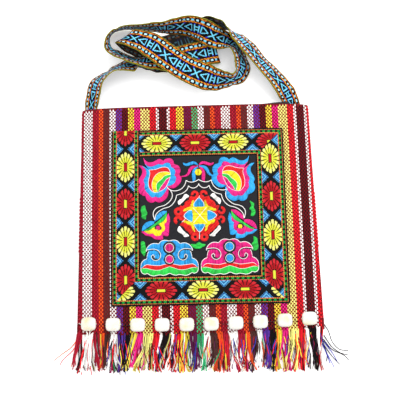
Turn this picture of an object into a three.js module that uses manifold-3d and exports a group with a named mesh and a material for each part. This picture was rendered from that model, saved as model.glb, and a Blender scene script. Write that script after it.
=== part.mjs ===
// Embroidered shoulder bag lying on its back, front up, with its strap gathered loosely above the mouth.
// Millimetres. X runs across the bag, +Y from the fringe to the mouth, +Z up from the surface it lies on.
import * as THREE from 'three';
import { mergeVertices } from 'three/addons/utils/BufferGeometryUtils.js';
import Module from 'manifold-3d';

const wasm = await Module();
wasm.setup();

// Body
const WIDTH_AT_MOUTH = 258;
const WIDTH_AT_SEAM = 264;
const BODY_HEIGHT = 244.5;
const FRINGE_LENGTH = 52.5;
const CLOTH = 1.5;
const GAP = 0.3;
const RISE = 12;
const MOUTH_DROP = 0.18;
const SEAM_BOW = 4;
const SIDE_ROUNDNESS = 5;
const CLIMB = { ease: 2.2, round: 0.9 };
const SEAM_CROWDING = 1.25;

// Facing that shows above the mouth's right end
const FACING = { left: -100, right: 107, depth: 26, thick: 1, proud: 3, riseFrom: 62, riseTo: 104 };

// Patch: black cloth panel framed by one folded ribbon
const PATCH = { x: 1.2, y: 20.5, wide: 129, tall: 132.5, thick: 1, turn: -0.006 };
const RIBBON = { wide: 31.2, thick: 1.3 };

// Beads along the bottom seam
const BEADS = { count: 10, first: -119, pitch: 26.1, wide: 16, tall: 14.5, thick: 7, hole: 2, square: 0.62 };
const BEAD_FACETS = { around: 14, rings: 8, hole: 8 };

// Fringe
const HEM = { depth: 12, thick: 2.2, overlap: 5 };
const LOCKS = { count: 30, wide: 10, thick: 3, tip: 0.8, lift: 2.4, rings: 4, sides: 6 };
const LOCK_CURVE = { taper: 1.5, splay: 1.4, sway: 3.5, swayTurn: 2.3 };
const LOCK_TIPS = { uneven: 3, least: 1.6, turn: 1.7, longEvery: 7 };
const STRAY_REACH = 157;

// Strap
const STRAP = { width: 30, thick: 1.2, stepsPerStation: 3 };

// Columns and rows of cells in each sheet
const CELLS = {
  front: [28, 16], back: [20, 2], facing: [22, 3], panel: [12, 12], ribbon: [48, 2], hem: [20, 1],
};

const TOTAL_LENGTH = FACING.proud + BODY_HEIGHT + FRINGE_LENGTH;
const MOUTH_Y = TOTAL_LENGTH / 2 - FACING.proud;
const SEAM_Y = MOUTH_Y - BODY_HEIGHT;
const TIP_Y = -TOTAL_LENGTH / 2;
const FRONT_Z = CLOTH + GAP;

// Route of the strap from the mouth's left end to its right end. x, y and z place the middle of the strap.
// turn and tilt, in degrees, aim its left edge. gather narrows it where it is bunched.
const STRAP_ROUTE = [
  { x: -117, y: 138, z: 3, turn: 180, tilt: 0, gather: 0.44 },
  { x: -118.5, y: 150, z: 3.4, turn: 180, tilt: -4, gather: 0.46 },
  { x: -116, y: 164, z: 7, turn: 168, tilt: -33, gather: 0.66 },
  { x: -112, y: 176.5, z: 12, turn: 148, tilt: -45, gather: 0.92 },
  { x: -104.5, y: 184.5, z: 14, turn: 136, tilt: -55, gather: 1 },
  { x: -95.5, y: 190.5, z: 14.4, turn: 112, tilt: -61, gather: 1 },
  { x: -87.5, y: 195, z: 13, turn: 108, tilt: -53, gather: 1 },
  { x: -71, y: 199.4, z: 11, turn: 102, tilt: -37, gather: 1 },
  { x: -61, y: 199.4, z: 8, turn: 96, tilt: -84, gather: 0.42 },
  { x: -52, y: 200.4, z: 6.6, turn: -100, tilt: -50, gather: 0.42 },
  { x: -42, y: 202.2, z: 4.6, turn: -104, tilt: -10, gather: 0.66 },
  { x: -22, y: 207.5, z: 3.2, turn: -92, tilt: -4, gather: 1 },
  { x: 4, y: 212.5, z: 3.4, turn: -82, tilt: -8, gather: 1 },
  { x: 21, y: 216, z: 4.2, turn: -75, tilt: -8, gather: 0.97 },
  { x: 27, y: 215.6, z: 6.4, turn: -74, tilt: -8, gather: 0.97 },
  { x: 20, y: 214.2, z: 7.8, turn: -75, tilt: -5, gather: 0.97 },
  { x: -1, y: 209.6, z: 9.4, turn: -81, tilt: -4, gather: 1 },
  { x: -24, y: 203.2, z: 14, turn: -87, tilt: 6, gather: 1 },
  { x: -46, y: 202.4, z: 16, turn: -90, tilt: 26, gather: 1 },
  { x: -64, y: 202.6, z: 14.8, turn: -87, tilt: 52, gather: 1 },
  { x: -78.5, y: 207.5, z: 14.8, turn: -90, tilt: 55, gather: 1 },
  { x: -87.5, y: 212, z: 14.4, turn: -94, tilt: 53, gather: 1 },
  { x: -95, y: 217.8, z: 15, turn: -102, tilt: 54, gather: 1 },
  { x: -97.2, y: 225.8, z: 15.4, turn: -98, tilt: 60, gather: 1 },
  { x: -95.8, y: 233.3, z: 15.6, turn: -92, tilt: 65, gather: 1 },
  { x: -91, y: 239.6, z: 15, turn: -84, tilt: 67, gather: 1 },
  { x: -81, y: 243.5, z: 15.4, turn: -77, tilt: 72, gather: 1 },
  { x: -65, y: 243.5, z: 16, turn: -76, tilt: 75, gather: 1 },
  { x: -49.5, y: 242.5, z: 16.4, turn: -66, tilt: 80, gather: 1 },
  { x: -36, y: 240.6, z: 19.5, turn: -20, tilt: 85, gather: 1 },
  { x: -22.5, y: 242, z: 19, turn: 48, tilt: 76, gather: 1 },
  { x: -8.5, y: 242.4, z: 18.6, turn: 56, tilt: 66, gather: 1 },
  { x: 8, y: 236.4, z: 21.5, turn: 56, tilt: 52, gather: 0.98 },
  { x: 23, y: 229.3, z: 18, turn: 60, tilt: 20, gather: 0.88 },
  { x: 37, y: 226.4, z: 12, turn: 70, tilt: -18, gather: 0.88 },
  { x: 48, y: 218.4, z: 12, turn: 72, tilt: -42, gather: 0.96 },
  { x: 53.2, y: 206, z: 13.6, turn: 52, tilt: -51, gather: 1 },
  { x: 55.6, y: 194, z: 13, turn: 28, tilt: -47, gather: 1 },
  { x: 52.6, y: 184.8, z: 12.9, turn: 14, tilt: -50, gather: 0.92 },
  { x: 45.6, y: 177.8, z: 13.9, turn: 0, tilt: -72, gather: 0.9 },
  { x: 36.6, y: 176.8, z: 13.7, turn: -70, tilt: -70, gather: 0.9 },
  { x: 24.6, y: 176.8, z: 15, turn: -112, tilt: -54, gather: 1 },
  { x: 8.4, y: 181.4, z: 17.8, turn: -124, tilt: -12, gather: 1 },
  { x: -11.2, y: 190.2, z: 21, turn: -124, tilt: 0, gather: 1 },
  { x: -30, y: 202.3, z: 25.4, turn: -124, tilt: 0, gather: 1 },
  { x: -46.8, y: 214.6, z: 28.6, turn: -128, tilt: 2, gather: 1 },
  { x: -61.3, y: 221.6, z: 29.4, turn: -138, tilt: 2, gather: 0.84 },
  { x: -74.6, y: 225.8, z: 26.4, turn: -150, tilt: -14, gather: 0.64 },
  { x: -81.5, y: 229.6, z: 14.4, turn: -160, tilt: -22, gather: 0.62 },
  { x: -71, y: 227, z: 4, turn: -142, tilt: 0, gather: 0.72 },
  { x: -52, y: 221.5, z: 1.6, turn: -108, tilt: 0, gather: 0.96 },
  { x: -28, y: 225, z: 1.5, turn: -82, tilt: 0, gather: 1 },
  { x: -4, y: 232, z: 3, turn: -70, tilt: -6, gather: 1 },
  { x: 18, y: 242.6, z: 12.1, turn: -50, tilt: -44, gather: 1 },
  { x: 32.5, y: 243.4, z: 15.8, turn: -10, tilt: -74, gather: 1 },
  { x: 42.3, y: 238.2, z: 15.6, turn: 66, tilt: -70, gather: 1 },
  { x: 52.4, y: 228, z: 15.8, turn: 72, tilt: -44, gather: 1 },
  { x: 64.6, y: 214, z: 15, turn: 66, tilt: -38, gather: 1 },
  { x: 76, y: 199, z: 13.2, turn: 64, tilt: -41, gather: 1 },
  { x: 89, y: 184.2, z: 11.2, turn: 60, tilt: -37, gather: 1 },
  { x: 100.6, y: 169.3, z: 8, turn: 46, tilt: -30, gather: 0.92 },
  { x: 108.6, y: 155.5, z: 3.6, turn: 12, tilt: -3, gather: 0.64 },
  { x: 114, y: 131, z: 3, turn: 0, tilt: 0, gather: 0.56 },
];

// Locks that splay out past the corners of the fringe.
const STRAY_LOCKS = [
  { rootX: -128, tipX: -STRAY_REACH, tipY: -130, wide: 4 },
  { rootX: -129, tipX: -136, tipY: -121, wide: 5 },
  { rootX: -126, tipX: -141, tipY: -139, wide: 4.6 },
  { rootX: 128, tipX: STRAY_REACH, tipY: -132, wide: 4 },
  { rootX: 127, tipX: 150, tipY: -141, wide: 4.6 },
  { rootX: 129, tipX: 146, tipY: -126, wide: 4.4 },
];

const material = (color, roughness) => new THREE.MeshStandardMaterial({ color, roughness, metalness: 0 });
const STRIPED_CLOTH = material('#a3182e', 0.9);
const BLACK_CLOTH = material('#26262c', 0.85);
const BORDER_RIBBON = material('#d8b83c', 0.7);
const STRAP_RIBBON = material('#2f5f8a', 0.65);
const FACING_CLOTH = material('#1c1c1e', 0.9);
const FRINGE_YARN = material('#b04a3a', 0.9);
const BEAD_RESIN = material('#f8f4e2', 0.35);

// Closed solid between two grids of points. Columns run along u, rows along v, and u cross v points to over.
function slab(columns, rows, under, over, ring = false) {
  const columnCount = ring ? columns : columns + 1;
  const points = [];
  for (const side of [over, under]) {
    for (let i = 0; i < columnCount; i += 1) {
      for (let j = 0; j <= rows; j += 1) {
        points.push(...side(i / columns, j / rows).toArray());
      }
    }
  }
  const layer = columnCount * (rows + 1);
  const top = (i, j) => (i % columnCount) * (rows + 1) + j;
  const bottom = (i, j) => layer + top(i, j);
  const index = [];
  const quad = (a, b, c, d) => index.push(a, b, c, a, c, d);
  for (let i = 0; i < columns; i += 1) {
    for (let j = 0; j < rows; j += 1) {
      quad(top(i, j), top(i + 1, j), top(i + 1, j + 1), top(i, j + 1));
      quad(bottom(i, j), bottom(i, j + 1), bottom(i + 1, j + 1), bottom(i + 1, j));
    }
    quad(bottom(i, 0), bottom(i + 1, 0), top(i + 1, 0), top(i, 0));
    quad(top(i, rows), top(i + 1, rows), bottom(i + 1, rows), bottom(i, rows));
  }
  for (let j = 0; j < rows && !ring; j += 1) {
    quad(top(0, j), top(0, j + 1), bottom(0, j + 1), bottom(0, j));
    quad(bottom(columns, j), bottom(columns, j + 1), top(columns, j + 1), top(columns, j));
  }
  const geometry = new THREE.BufferGeometry();
  geometry.setAttribute('position', new THREE.Float32BufferAttribute(points, 3));
  geometry.setIndex(index);
  return geometry;
}

// Solid for joining and cutting, from a closed geometry.
function toManifold(geometry) {
  const bare = geometry.clone();
  bare.deleteAttribute('normal');
  bare.deleteAttribute('uv');
  const merged = mergeVertices(bare, 1e-4);
  const vertProperties = new Float32Array(merged.attributes.position.array);
  const triVerts = new Uint32Array(merged.index.array);
  return new wasm.Manifold(new wasm.Mesh({ numProp: 3, vertProperties, triVerts }));
}

function fromManifold(solid) {
  const { vertProperties, triVerts } = solid.getMesh();
  const geometry = new THREE.BufferGeometry();
  geometry.setAttribute('position', new THREE.BufferAttribute(vertProperties, 3));
  geometry.setIndex(new THREE.BufferAttribute(triVerts, 1));
  return geometry;
}

// Outline of the bag's body.
const seamAt = (x) => SEAM_Y + SEAM_BOW * (2 * x / WIDTH_AT_SEAM) ** 2;
const halfWidthAt = (y) => {
  const up = THREE.MathUtils.clamp((y - SEAM_Y) / BODY_HEIGHT, 0, 1);
  return THREE.MathUtils.lerp(WIDTH_AT_SEAM, WIDTH_AT_MOUTH, up) / 2;
};

// Height of the pouch's hollow: pinched at the side and bottom seams, open at the mouth.
function hollowAt(x, y) {
  const across = Math.min(1, Math.abs(x) / (halfWidthAt(y) - CLOTH));
  const up = THREE.MathUtils.clamp((y - seamAt(x)) / (MOUTH_Y - seamAt(x)), 0, 1);
  const sides = Math.sqrt(1 - across ** SIDE_ROUNDNESS);
  const climb = (1 - (1 - up) ** CLIMB.ease) ** CLIMB.round;
  return RISE * sides * climb * (1 - MOUTH_DROP * up ** 2);
}

function frontNormal(x, y) {
  const step = 0.25;
  const slopeX = (hollowAt(x + step, y) - hollowAt(x - step, y)) / (2 * step);
  const slopeY = (hollowAt(x, y + step) - hollowAt(x, y - step)) / (2 * step);
  return new THREE.Vector3(-slopeX, -slopeY, 1).normalize();
}

// Top of the front cloth above a point of the surface it lies on.
const frontTop = (x, y) => FRONT_Z + hollowAt(x, y) + CLOTH / frontNormal(x, y).z;

// Front of the pouch, a cloth wall of one thickness. Columns crowd towards the rounded sides.
function frontPanel() {
  const place = (u, v) => {
    const across = Math.sin((u - 0.5) * Math.PI);
    const seam = seamAt(across * WIDTH_AT_SEAM / 2);
    const y = THREE.MathUtils.lerp(seam, MOUTH_Y, v ** SEAM_CROWDING);
    return new THREE.Vector2(across * (halfWidthAt(y) - CLOTH), y);
  };
  const inside = (u, v) => {
    const { x, y } = place(u, v);
    return new THREE.Vector3(x, y, FRONT_Z + hollowAt(x, y));
  };
  const outside = (u, v) => {
    const { x, y } = place(u, v);
    return inside(u, v).addScaledVector(frontNormal(x, y), CLOTH);
  };
  return slab(...CELLS.front, inside, outside);
}

// Back of the pouch, flat on the surface.
function backPanel() {
  const sheet = (z) => (u, v) => {
    const x = (2 * u - 1) * WIDTH_AT_SEAM / 2;
    const y = THREE.MathUtils.lerp(seamAt(x), MOUTH_Y, v);
    return new THREE.Vector3((2 * u - 1) * halfWidthAt(y), y, z);
  };
  return slab(...CELLS.back, sheet(0), sheet(CLOTH));
}

// Black facing under the front's mouth edge, proud of it near the right end of the strap.
function mouthFacing() {
  const sheet = (drop) => (u, v) => {
    const x = THREE.MathUtils.lerp(FACING.left, FACING.right, u);
    const rise = THREE.MathUtils.smoothstep(x, FACING.riseFrom, FACING.riseTo);
    const edgeY = MOUTH_Y + THREE.MathUtils.lerp(-GAP, FACING.proud, rise);
    const y = THREE.MathUtils.lerp(MOUTH_Y - FACING.depth, edgeY, v);
    return new THREE.Vector3(x, y, FRONT_Z + hollowAt(x, y) - GAP - drop);
  };
  return slab(...CELLS.facing, sheet(FACING.thick), sheet(0));
}

// Point of the patch, turned a little on the bag, at a height above the front cloth.
function patchPoint(a, b, height) {
  const x = PATCH.x + a * Math.cos(PATCH.turn) - b * Math.sin(PATCH.turn);
  const y = PATCH.y + a * Math.sin(PATCH.turn) + b * Math.cos(PATCH.turn);
  return new THREE.Vector3(x, y, frontTop(x, y) + GAP + height);
}

function embroideredPanel() {
  const sheet = (height) => (u, v) => {
    return patchPoint((u - 0.5) * PATCH.wide, (v - 0.5) * PATCH.tall, height);
  };
  return slab(...CELLS.panel, sheet(0), sheet(PATCH.thick));
}

// Ribbon frame round the panel, clockwise from its top left corner.
function borderRibbon() {
  const corners = [[-1, 1], [1, 1], [1, -1], [-1, -1]];
  const sheet = (height) => (u, v) => {
    const side = Math.floor(u * 4 + 1e-9) % 4;
    const along = u * 4 - Math.floor(u * 4 + 1e-9);
    const out = THREE.MathUtils.lerp(GAP, RIBBON.wide, v);
    const a = THREE.MathUtils.lerp(corners[side][0], corners[(side + 1) % 4][0], along);
    const b = THREE.MathUtils.lerp(corners[side][1], corners[(side + 1) % 4][1], along);
    return patchPoint(a * (PATCH.wide / 2 + out), b * (PATCH.tall / 2 + out), height);
  };
  return slab(...CELLS.ribbon, sheet(0), sheet(RIBBON.thick), true);
}

// Pillow-shaped bead with a thread hole along X.
function bead() {
  const soften = (value) => Math.sign(value) * Math.abs(value) ** BEADS.square;
  const pillow = new THREE.SphereGeometry(1, BEAD_FACETS.around, BEAD_FACETS.rings);
  const points = pillow.attributes.position;
  for (let i = 0; i < points.count; i += 1) {
    const round = new THREE.Vector3().fromBufferAttribute(points, i);
    const ring = Math.hypot(round.x, round.z);
    const x = ring > 1e-6 ? soften(round.x / ring) * ring ** BEADS.square : 0;
    const y = ring > 1e-6 ? soften(-round.z / ring) * ring ** BEADS.square : 0;
    points.setXYZ(i, x * BEADS.wide / 2, y * BEADS.tall / 2, round.y * BEADS.thick / 2);
  }
  const hole = new THREE.CylinderGeometry(BEADS.hole / 2, BEADS.hole / 2, 2 * BEADS.wide, BEAD_FACETS.hole);
  hole.rotateZ(Math.PI / 2);
  return fromManifold(toManifold(pillow).subtract(toManifold(hole)));
}

// Height at which a piece centred at x, y just clears the front cloth and the hem under it.
function seatHeight(geometry, x, y) {
  const points = geometry.attributes.position;
  let height = 0;
  for (let i = 0; i < points.count; i += 1) {
    const atX = x + points.getX(i);
    const atY = y + points.getY(i);
    const cloth = atY < seamAt(atX) ? HEM.thick : frontTop(atX, atY);
    height = Math.max(height, cloth + GAP - points.getZ(i));
  }
  return height;
}

// One tapering lock of yarn, from inside the hem to its tip, lying on the surface.
function lock({ rootX, tipX, tipY, wide }) {
  const rootY = seamAt(rootX) - HEM.depth + HEM.overlap;
  const thin = (s) => THREE.MathUtils.lerp(1, LOCKS.tip, s ** LOCK_CURVE.taper);
  const ringPoint = (s, angle) => {
    const height = LOCKS.thick * thin(s) / 2;
    const middle = THREE.MathUtils.lerp(rootX, tipX, s ** LOCK_CURVE.splay);
    const x = middle + wide / 2 * thin(s) * Math.cos(angle);
    const lift = LOCKS.lift * Math.sin(Math.PI * s) * s;
    return new THREE.Vector3(x, THREE.MathUtils.lerp(rootY, tipY, s), lift + height * (1 + Math.sin(angle)));
  };
  const points = [];
  const index = [];
  const { rings, sides } = LOCKS;
  for (let i = 0; i <= rings; i += 1) {
    for (let k = 0; k < sides; k += 1) {
      points.push(...ringPoint(i / rings, (2 * Math.PI * k) / sides).toArray());
    }
  }
  for (let i = 0; i < rings; i += 1) {
    for (let k = 0; k < sides; k += 1) {
      const a = i * sides + k;
      const b = i * sides + (k + 1) % sides;
      index.push(a, b, a + sides, b, b + sides, a + sides);
    }
  }
  const last = rings * sides;
  for (let k = 1; k < sides - 1; k += 1) {
    index.push(0, k + 1, k);
    index.push(last, last + k, last + k + 1);
  }
  const geometry = new THREE.BufferGeometry();
  geometry.setAttribute('position', new THREE.Float32BufferAttribute(points, 3));
  geometry.setIndex(index);
  return geometry;
}

// Woven hem below the seam with its warp hanging out in locks.
function fringe() {
  const sheet = (z) => (u, v) => {
    const x = (u - 0.5) * WIDTH_AT_SEAM;
    return new THREE.Vector3(x, seamAt(x) - GAP - (1 - v) * (HEM.depth - GAP), z);
  };
  let solid = toManifold(slab(...CELLS.hem, sheet(0), sheet(HEM.thick)));
  const pitch = (WIDTH_AT_SEAM - LOCKS.wide) / (LOCKS.count - 1);
  for (let i = 0; i < LOCKS.count; i += 1) {
    const rootX = -WIDTH_AT_SEAM / 2 + LOCKS.wide / 2 + i * pitch;
    const tipX = rootX + LOCK_CURVE.sway * Math.sin(LOCK_CURVE.swayTurn * i);
    const short = LOCK_TIPS.uneven * (LOCK_TIPS.least + Math.sin(LOCK_TIPS.turn * i));
    const tipY = i % LOCK_TIPS.longEvery === 0 ? TIP_Y : TIP_Y + short;
    solid = solid.add(toManifold(lock({ rootX, tipX, tipY, wide: LOCKS.wide })));
  }
  for (const stray of STRAY_LOCKS) {
    solid = solid.add(toManifold(lock(stray)));
  }
  return fromManifold(solid);
}

// Woven strap swept along its route, its flat side turned by the route's turn and tilt.
function strap() {
  const middle = new THREE.CatmullRomCurve3(STRAP_ROUTE.map(({ x, y, z }) => new THREE.Vector3(x, y, z)));
  const aim = STRAP_ROUTE.map(({ turn, tilt }) => {
    const level = Math.cos(THREE.MathUtils.degToRad(tilt));
    const azimuth = THREE.MathUtils.degToRad(turn);
    const up = Math.sin(THREE.MathUtils.degToRad(tilt));
    return new THREE.Vector3(level * Math.cos(azimuth), level * Math.sin(azimuth), up);
  });
  const last = STRAP_ROUTE.length - 1;
  const section = (u) => {
    const station = Math.min(Math.floor(u * last), last - 1);
    const part = THREE.MathUtils.smoothstep(u * last - station, 0, 1);
    const along = middle.getTangent(u);
    const edge = aim[station].clone().lerp(aim[station + 1], part);
    edge.addScaledVector(along, -edge.dot(along)).normalize();
    const gather = THREE.MathUtils.lerp(STRAP_ROUTE[station].gather, STRAP_ROUTE[station + 1].gather, part);
    return { at: middle.getPoint(u), edge, face: along.clone().cross(edge), half: gather * STRAP.width / 2 };
  };
  const sheet = (side) => (u, v) => {
    const { at, edge, face, half } = section(u);
    return at.addScaledVector(edge, (2 * v - 1) * half).addScaledVector(face, side * STRAP.thick / 2);
  };
  return slab(last * STRAP.stepsPerStation, 1, sheet(-1), sheet(1));
}

const bag = new THREE.Group();

function addPiece(name, geometry, finish) {
  const mesh = new THREE.Mesh(geometry, finish);
  mesh.name = name;
  bag.add(mesh);
  return mesh;
}

addPiece('back_panel', backPanel(), STRIPED_CLOTH);
addPiece('front_panel', frontPanel(), STRIPED_CLOTH);
addPiece('mouth_facing', mouthFacing(), FACING_CLOTH);
addPiece('embroidered_panel', embroideredPanel(), BLACK_CLOTH);
addPiece('border_ribbon', borderRibbon(), BORDER_RIBBON);
addPiece('fringe', fringe(), FRINGE_YARN);
addPiece('strap', strap(), STRAP_RIBBON);

const beadShape = bead();
for (let i = 0; i < BEADS.count; i += 1) {
  const x = BEADS.first + i * BEADS.pitch;
  const y = seamAt(x);
  const mesh = addPiece(`bead_${i + 1}`, beadShape, BEAD_RESIN);
  mesh.position.set(x, y, seatHeight(beadShape, x, y));
}

export default bag;
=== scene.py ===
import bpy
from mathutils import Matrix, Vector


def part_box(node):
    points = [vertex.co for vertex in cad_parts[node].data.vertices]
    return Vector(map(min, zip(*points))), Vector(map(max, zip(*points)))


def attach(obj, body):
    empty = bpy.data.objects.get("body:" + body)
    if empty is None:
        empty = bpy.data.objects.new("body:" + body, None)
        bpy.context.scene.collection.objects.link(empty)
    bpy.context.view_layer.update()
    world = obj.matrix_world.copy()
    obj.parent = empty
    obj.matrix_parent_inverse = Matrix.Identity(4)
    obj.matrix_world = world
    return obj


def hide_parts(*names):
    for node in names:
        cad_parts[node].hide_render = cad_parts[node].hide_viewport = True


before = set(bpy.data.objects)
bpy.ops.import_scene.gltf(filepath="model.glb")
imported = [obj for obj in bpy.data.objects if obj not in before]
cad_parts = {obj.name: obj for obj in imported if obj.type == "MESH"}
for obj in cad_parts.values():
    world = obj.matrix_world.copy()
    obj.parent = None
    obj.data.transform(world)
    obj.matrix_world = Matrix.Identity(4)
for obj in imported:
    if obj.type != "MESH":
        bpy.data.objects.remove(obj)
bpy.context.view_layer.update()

import math

import bpy
import numpy as np
from bpy.props import FloatProperty, FloatVectorProperty, PointerProperty
from mathutils import Matrix, Vector

bl_info = {
    "name": "Embroidered Shoulder Bag",
    "version": (1, 0, 0),
    "blender": (4, 5, 0),
    "location": "3D View > Sidebar > Bag",
    "description": "Dresses a shoulder bag in striped cloth, embroidery, ribbon, beads, fringe and strap",
    "category": "Add Mesh",
}

MM = 0.001

# Forms that the cloth pieces share with the solids, in millimetres
CLOTH = {"mouth": 258, "seam": 264, "height": 244.5, "thick": 1.5, "gap": 0.3, "rise": 12, "drop": 0.18}
MOUTH_Y = 147
SEAM_Y = MOUTH_Y - CLOTH["height"]
SEAM_BOW = 4
SIDE_ROUNDNESS = 5
CLIMB_EASE, CLIMB_ROUND = 2.2, 0.9
SEAM_CROWDING = 1.25
FRONT_Z = CLOTH["thick"] + CLOTH["gap"]
FACING = {"left": -100, "right": 107, "depth": 26, "thick": 1, "proud": 3, "rise_from": 62, "rise_to": 104}
PATCH = {"x": 1.2, "y": 20.5, "wide": 129, "tall": 132.5, "thick": 1, "turn": -0.006}
RIBBON = {"wide": 31.2, "thick": 1.3, "puff": 0.12}
HEM = {"depth": 12, "thick": 2.2}
TIP_Y = -150

# Where the strap runs, from the mouth's left end to its right end. A row has x, y and z in metres, the
# turn and tilt in degrees that aim its left edge, and the gather that narrows it where it is bunched.
STRAP_ROUTE = (
    (-0.117, 0.138, 0.003, 180, 0, 0.44),
    (-0.1185, 0.15, 0.0034, 180, -4, 0.46),
    (-0.116, 0.164, 0.007, 168, -33, 0.66),
    (-0.112, 0.1765, 0.012, 148, -45, 0.92),
    (-0.1045, 0.1845, 0.014, 136, -55, 1),
    (-0.0955, 0.1905, 0.0144, 112, -61, 1),
    (-0.0875, 0.195, 0.013, 108, -53, 1),
    (-0.071, 0.1994, 0.011, 102, -37, 1),
    (-0.061, 0.1994, 0.008, 96, -84, 0.42),
    (-0.052, 0.2004, 0.0066, -100, -50, 0.42),
    (-0.042, 0.2022, 0.0046, -104, -10, 0.66),
    (-0.022, 0.2075, 0.0032, -92, -4, 1),
    (0.004, 0.2125, 0.0034, -82, -8, 1),
    (0.021, 0.216, 0.0042, -75, -8, 0.97),
    (0.027, 0.2156, 0.0064, -74, -8, 0.97),
    (0.02, 0.2142, 0.0078, -75, -5, 0.97),
    (-0.001, 0.2096, 0.0094, -81, -4, 1),
    (-0.024, 0.2032, 0.014, -87, 6, 1),
    (-0.046, 0.2024, 0.016, -90, 26, 1),
    (-0.064, 0.2026, 0.0148, -87, 52, 1),
    (-0.0785, 0.2075, 0.0148, -90, 55, 1),
    (-0.0875, 0.212, 0.0144, -94, 53, 1),
    (-0.095, 0.2178, 0.015, -102, 54, 1),
    (-0.0972, 0.2258, 0.0154, -98, 60, 1),
    (-0.0958, 0.2333, 0.0156, -92, 65, 1),
    (-0.091, 0.2396, 0.015, -84, 67, 1),
    (-0.081, 0.2435, 0.0154, -77, 72, 1),
    (-0.065, 0.2435, 0.016, -76, 75, 1),
    (-0.0495, 0.2425, 0.0164, -66, 80, 1),
    (-0.036, 0.2406, 0.0195, -20, 85, 1),
    (-0.0225, 0.242, 0.019, 48, 76, 1),
    (-0.0085, 0.2424, 0.0186, 56, 66, 1),
    (0.008, 0.2364, 0.0215, 56, 52, 0.98),
    (0.023, 0.2293, 0.018, 60, 20, 0.88),
    (0.037, 0.2264, 0.012, 70, -18, 0.88),
    (0.048, 0.2184, 0.012, 72, -42, 0.96),
    (0.0532, 0.206, 0.0136, 52, -51, 1),
    (0.0556, 0.194, 0.013, 28, -47, 1),
    (0.0526, 0.1848, 0.0129, 14, -50, 0.92),
    (0.0456, 0.1778, 0.0139, 0, -72, 0.9),
    (0.0366, 0.1768, 0.0137, -70, -70, 0.9),
    (0.0246, 0.1768, 0.015, -112, -54, 1),
    (0.0084, 0.1814, 0.0178, -124, -12, 1),
    (-0.0112, 0.1902, 0.021, -124, 0, 1),
    (-0.03, 0.2023, 0.0254, -124, 0, 1),
    (-0.0468, 0.2146, 0.0286, -128, 2, 1),
    (-0.0613, 0.2216, 0.0294, -138, 2, 0.84),
    (-0.0746, 0.2258, 0.0264, -150, -14, 0.64),
    (-0.0815, 0.2296, 0.0144, -160, -22, 0.62),
    (-0.071, 0.227, 0.004, -142, 0, 0.72),
    (-0.052, 0.2215, 0.0016, -108, 0, 0.96),
    (-0.028, 0.225, 0.0015, -82, 0, 1),
    (-0.004, 0.232, 0.003, -70, -6, 1),
    (0.018, 0.2426, 0.0121, -50, -44, 1),
    (0.0325, 0.2434, 0.0158, -10, -74, 1),
    (0.0423, 0.2382, 0.0156, 66, -70, 1),
    (0.0524, 0.228, 0.0158, 72, -44, 1),
    (0.0646, 0.214, 0.015, 66, -38, 1),
    (0.076, 0.199, 0.0132, 64, -41, 1),
    (0.089, 0.1842, 0.0112, 60, -37, 1),
    (0.1006, 0.1693, 0.008, 46, -30, 0.92),
    (0.1086, 0.1555, 0.0036, 12, -3, 0.64),
    (0.114, 0.131, 0.003, 0, 0, 0.56),
)
STRAP_THICK = 1.2
# The face thins towards the strap's edges. A woven cell is longer than wide by the stretch.
STRAP_EDGE = {"thinning": 0.35, "sharpness": 6}
CELL_STRETCH = 1.25
ROUTE_STEPS = 60
# The strap's weave, in millimetres. A chain of dots and dashes between two lines runs down each side.
CHAIN = {
    "middle": 10.3, "half": 3.5, "lines_from": 1.5, "stroke_pitch": 3.7, "rust_to": 1.3, "gold_from": 2.5,
    "dots": 4, "ring": 2.6, "ring_half": 2.7, "dot": 1.3, "dot_half": 1.2, "dash_from": 3.6,
    "selvedge": 14.4,
}
# Down its middle stand ladders, with a triangle before and after each and a cross between two triangles.
FIGURE = {
    "half": 6.2, "indigo_from": 4.3, "ladder": 3.1, "rail_from": 1.8, "rung_from": 1, "rung_to": 2.3,
    "base_from": 5.3, "base_to": 6.6, "base_half": 5.8, "tip": 15.5, "long": 10.3, "line": 1.4,
    "cross": 6.3, "cross_line": 0.95,
}
# Share of the face's colours that shows on the reverse
GHOST = 0.18

# Stripes of the cloth from left to right, each with its number of warp yarns. The table repeats.
STRIPES = (
    ("white", 6), ("maroon", 4), ("orange", 3), ("brown", 4), ("white", 4), ("purple", 4), ("black", 4),
    ("yellow", 4), ("pink", 4), ("pale_yellow", 6), ("red", 4), ("white", 2), ("black", 5), ("white", 2),
    ("red", 4), ("yellow", 5), ("plum", 5), ("green", 4), ("white", 4), ("brown", 4), ("orange", 3),
    ("maroon", 4),
)
MIDDLE_YARN = 72

# How far each stripe's lock of fringe leans to the right at its tip, in millimetres, from left to right
LOCK_LEANS = (-9, -4.5, 3, -1.5, -3, -9, 1.5, -6, -15, -13.5, -9, -6, -9, -12, -10.5, 0, -3, 0, -1.5, -6,
              4.5, 3, 0, 3, -3, 6, 1.5, -4.5, -1.5, -1.5, -3, -7.5, -6, -3, 3, -3, -1.5, -7.5, 0)
YARN_REACH = np.linspace(0, 1, 12)
# Locks and strands: swing, lean and width in millimetres, then loft, lower layer's shade and loose plies
FRINGE = {"lock_swing": 2.2, "strand_wide": 3.4, "strand_lean": 1.8, "strand_swing": 1.5, "loft": 1.2,
          "under_shade": 0.68, "plies": 150}

# Ribbon sides: where the first flower stands, the flowers' pitch, and whether the first is red
RIBBON_SIDES = {
    "left": {"first": 13.5, "pitch": 41.6, "red": True},
    "top": {"first": -2.7, "pitch": 42.5, "red": True},
    "right": {"first": 19.1, "pitch": 43.0, "red": True},
    "bottom": {"first": 3.0, "pitch": 45.0, "red": False},
}
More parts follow.
